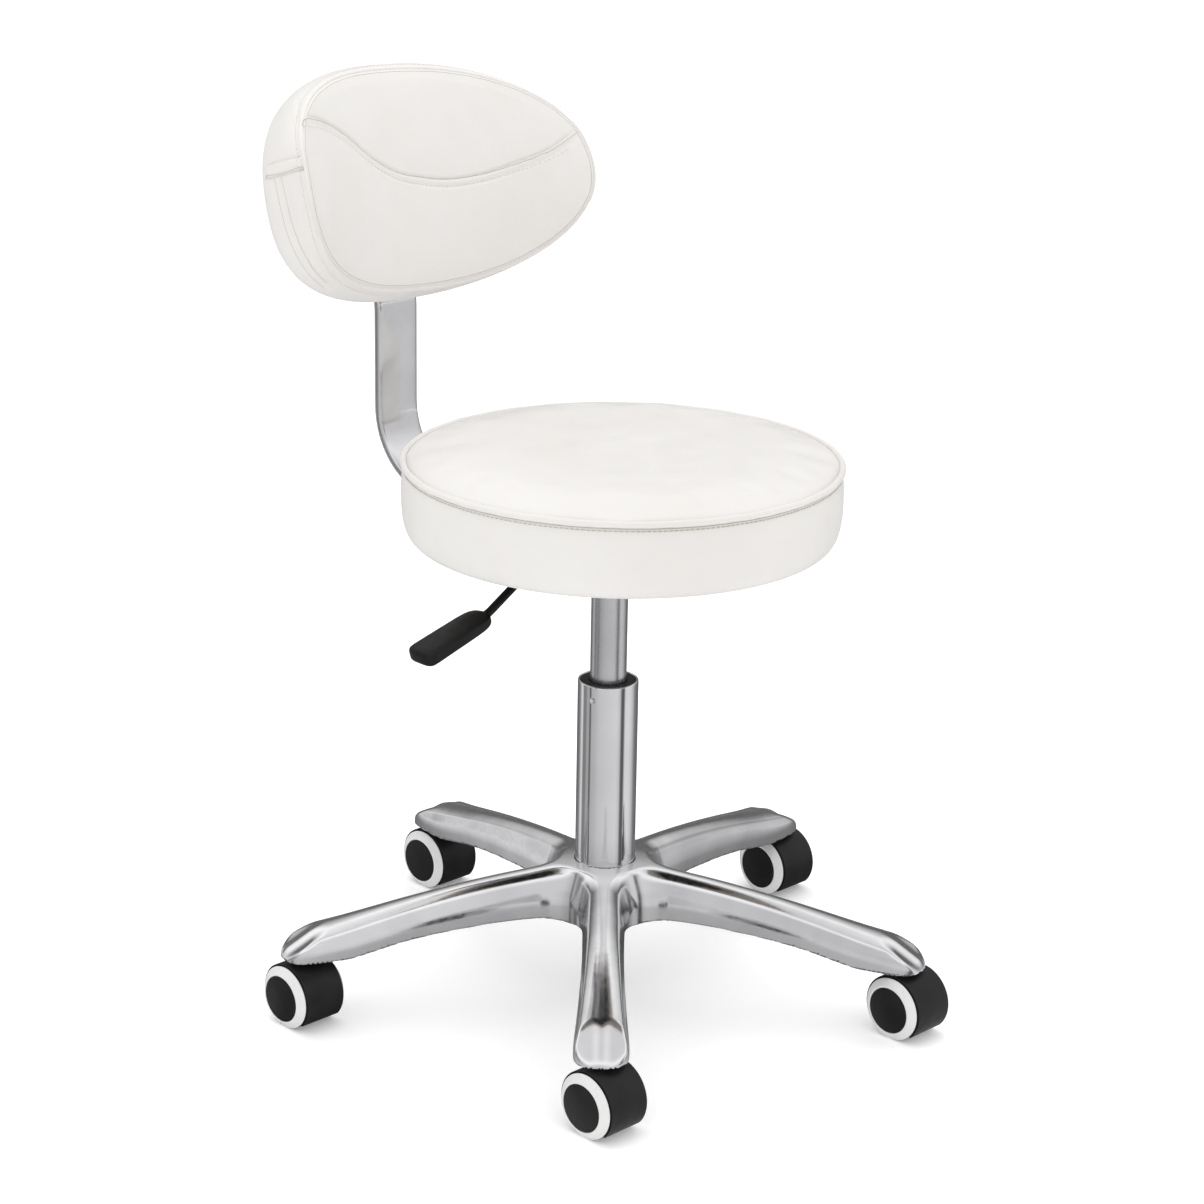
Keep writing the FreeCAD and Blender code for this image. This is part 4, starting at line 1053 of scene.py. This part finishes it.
def surroundings(tree, vector):
    """How bright the studio is by direction, for reflections only, and the direction's height."""
    parts = tree.add("SeparateXYZ", {"Vector": vector}).outputs
    turn = tree.nodes.new("ShaderNodeMath")
    turn.operation = "ARCTAN2"
    tree.feed(turn, {0: parts["Y"], 1: parts["X"]})
    bands = tree.add("ValToRGB", {"Fac": tree.ranged(turn.outputs["Value"], 0.0, 1.0, (-math.pi, math.pi))})
    stops = bands.color_ramp.elements
    for number, (angle, value) in enumerate(SURROUNDINGS):
        place = (angle + 180) / 360
        stop = stops.new(place) if 0 < number < len(SURROUNDINGS) - 1 else stops[0 if number == 0 else -1]
        stop.position = place
        stop.color = (value, value, value * 1.01, 1)
    return bands.outputs["Color"], parts["Z"]


def make_world():
    """White light all round, with a banded studio seen only in reflections."""
    world = bpy.data.worlds.new("studio")
    tree = Nodes(world)
    bands, height = surroundings(tree, tree.add("TexCoord").outputs["Generated"])
    overhead = tree.tinted(height, (0.0, 0.0, 0.0), (1.0, 1.0, 1.0), (0.30, 0.72))
    zenith = tree.tinted(height, (1.2, 1.2, 1.2), (0.82, 0.82, 0.83), (0.72, 0.99))
    reflected = tree.mixed(overhead, bands, zenith)
    shown = tree.mixed(tree.add("LightPath").outputs["Is Glossy Ray"], (1.10, 1.10, 1.10, 1), reflected)
    tree.feed(tree.nodes["Background"], {"Color": shown, "Strength": 1.0})
    bpy.context.scene.world = world


def make_floor_reflection():
    """What polished metal sees on the floor: the same bands, on a disc that only reflections meet."""
    tree, at = tree_of("studio_floor_reflection")
    away = tree.nodes.new("ShaderNodeVectorMath")
    away.operation = "LENGTH"
    tree.feed(away, {0: at})
    bands, _ = surroundings(tree, at)
    # The disc glows dimmer near the middle: painted shade under the stool, seen only in reflections.
    strength = tree.ranged(away.outputs["Value"], 0.5, 1.0, (0.16, 0.36))
    glow = tree.add("Emission", {"Color": bands, "Strength": strength})
    tree.feed(tree.nodes["Material Output"], {"Surface": glow.outputs["Emission"]})
    rim = [(x, y, 0.0) for x, y in circle(9.0, 64)]
    disc = in_scene("studio_floor_reflection",
                    new_mesh("studio_floor_reflection", rim, [list(range(len(rim)))], tree.owner))
    disc.location = (0, 0, 0.0004)
    disc.visible_camera = disc.visible_diffuse = disc.visible_shadow = disc.visible_transmission = False


def make_stage():
    make_floor()
    make_floor_reflection()
    make_world()
    area_light("overhead_softbox", (0.2, 0.3, 2.7), (0, 0, 0.3), (2.4, 2.4), 19.0)
    area_light("front_softbox", (-2.3, -0.6, 1.7), (0, 0, 0.4), (1.4, 1.8), 0.8)
    settings = bpy.context.scene.view_settings
    settings.view_transform = "Standard"
    settings.look = "None"
    settings.exposure = 0.0
    settings.gamma = 1.0


CAMERA_PLACE = (-1.6971, -1.6971, 1.137)
CAMERA_YAW, CAMERA_PITCH, CAMERA_ROLL = -0.0026, 0.321, 0.018
CAMERA_LENS = 92.99


def make_camera():
    """The camera stands 45 degrees round from the stool's front and looks down a little."""
    made = bpy.data.cameras.new("camera")
    made.lens = CAMERA_LENS
    made.sensor_width = 36.0
    made.clip_end = 60.0
    camera = in_scene("camera", made)
    turns = ((math.radians(-45) - CAMERA_YAW, "Z"), (math.radians(90) - CAMERA_PITCH, "X"), (CAMERA_ROLL, "Z"))
    grid = Matrix.Translation(CAMERA_PLACE)
    for turn, axis in turns:
        grid = grid @ Matrix.Rotation(turn, 4, axis)
    camera.matrix_world = grid
    bpy.context.scene.camera = camera


dress_cad_nodes()
make_star_base()
make_column()
make_gas_cylinder()
make_casters()
make_lever()
make_back_bar()
make_seat_cushion()
make_back_pad()
make_stage()
make_camera()
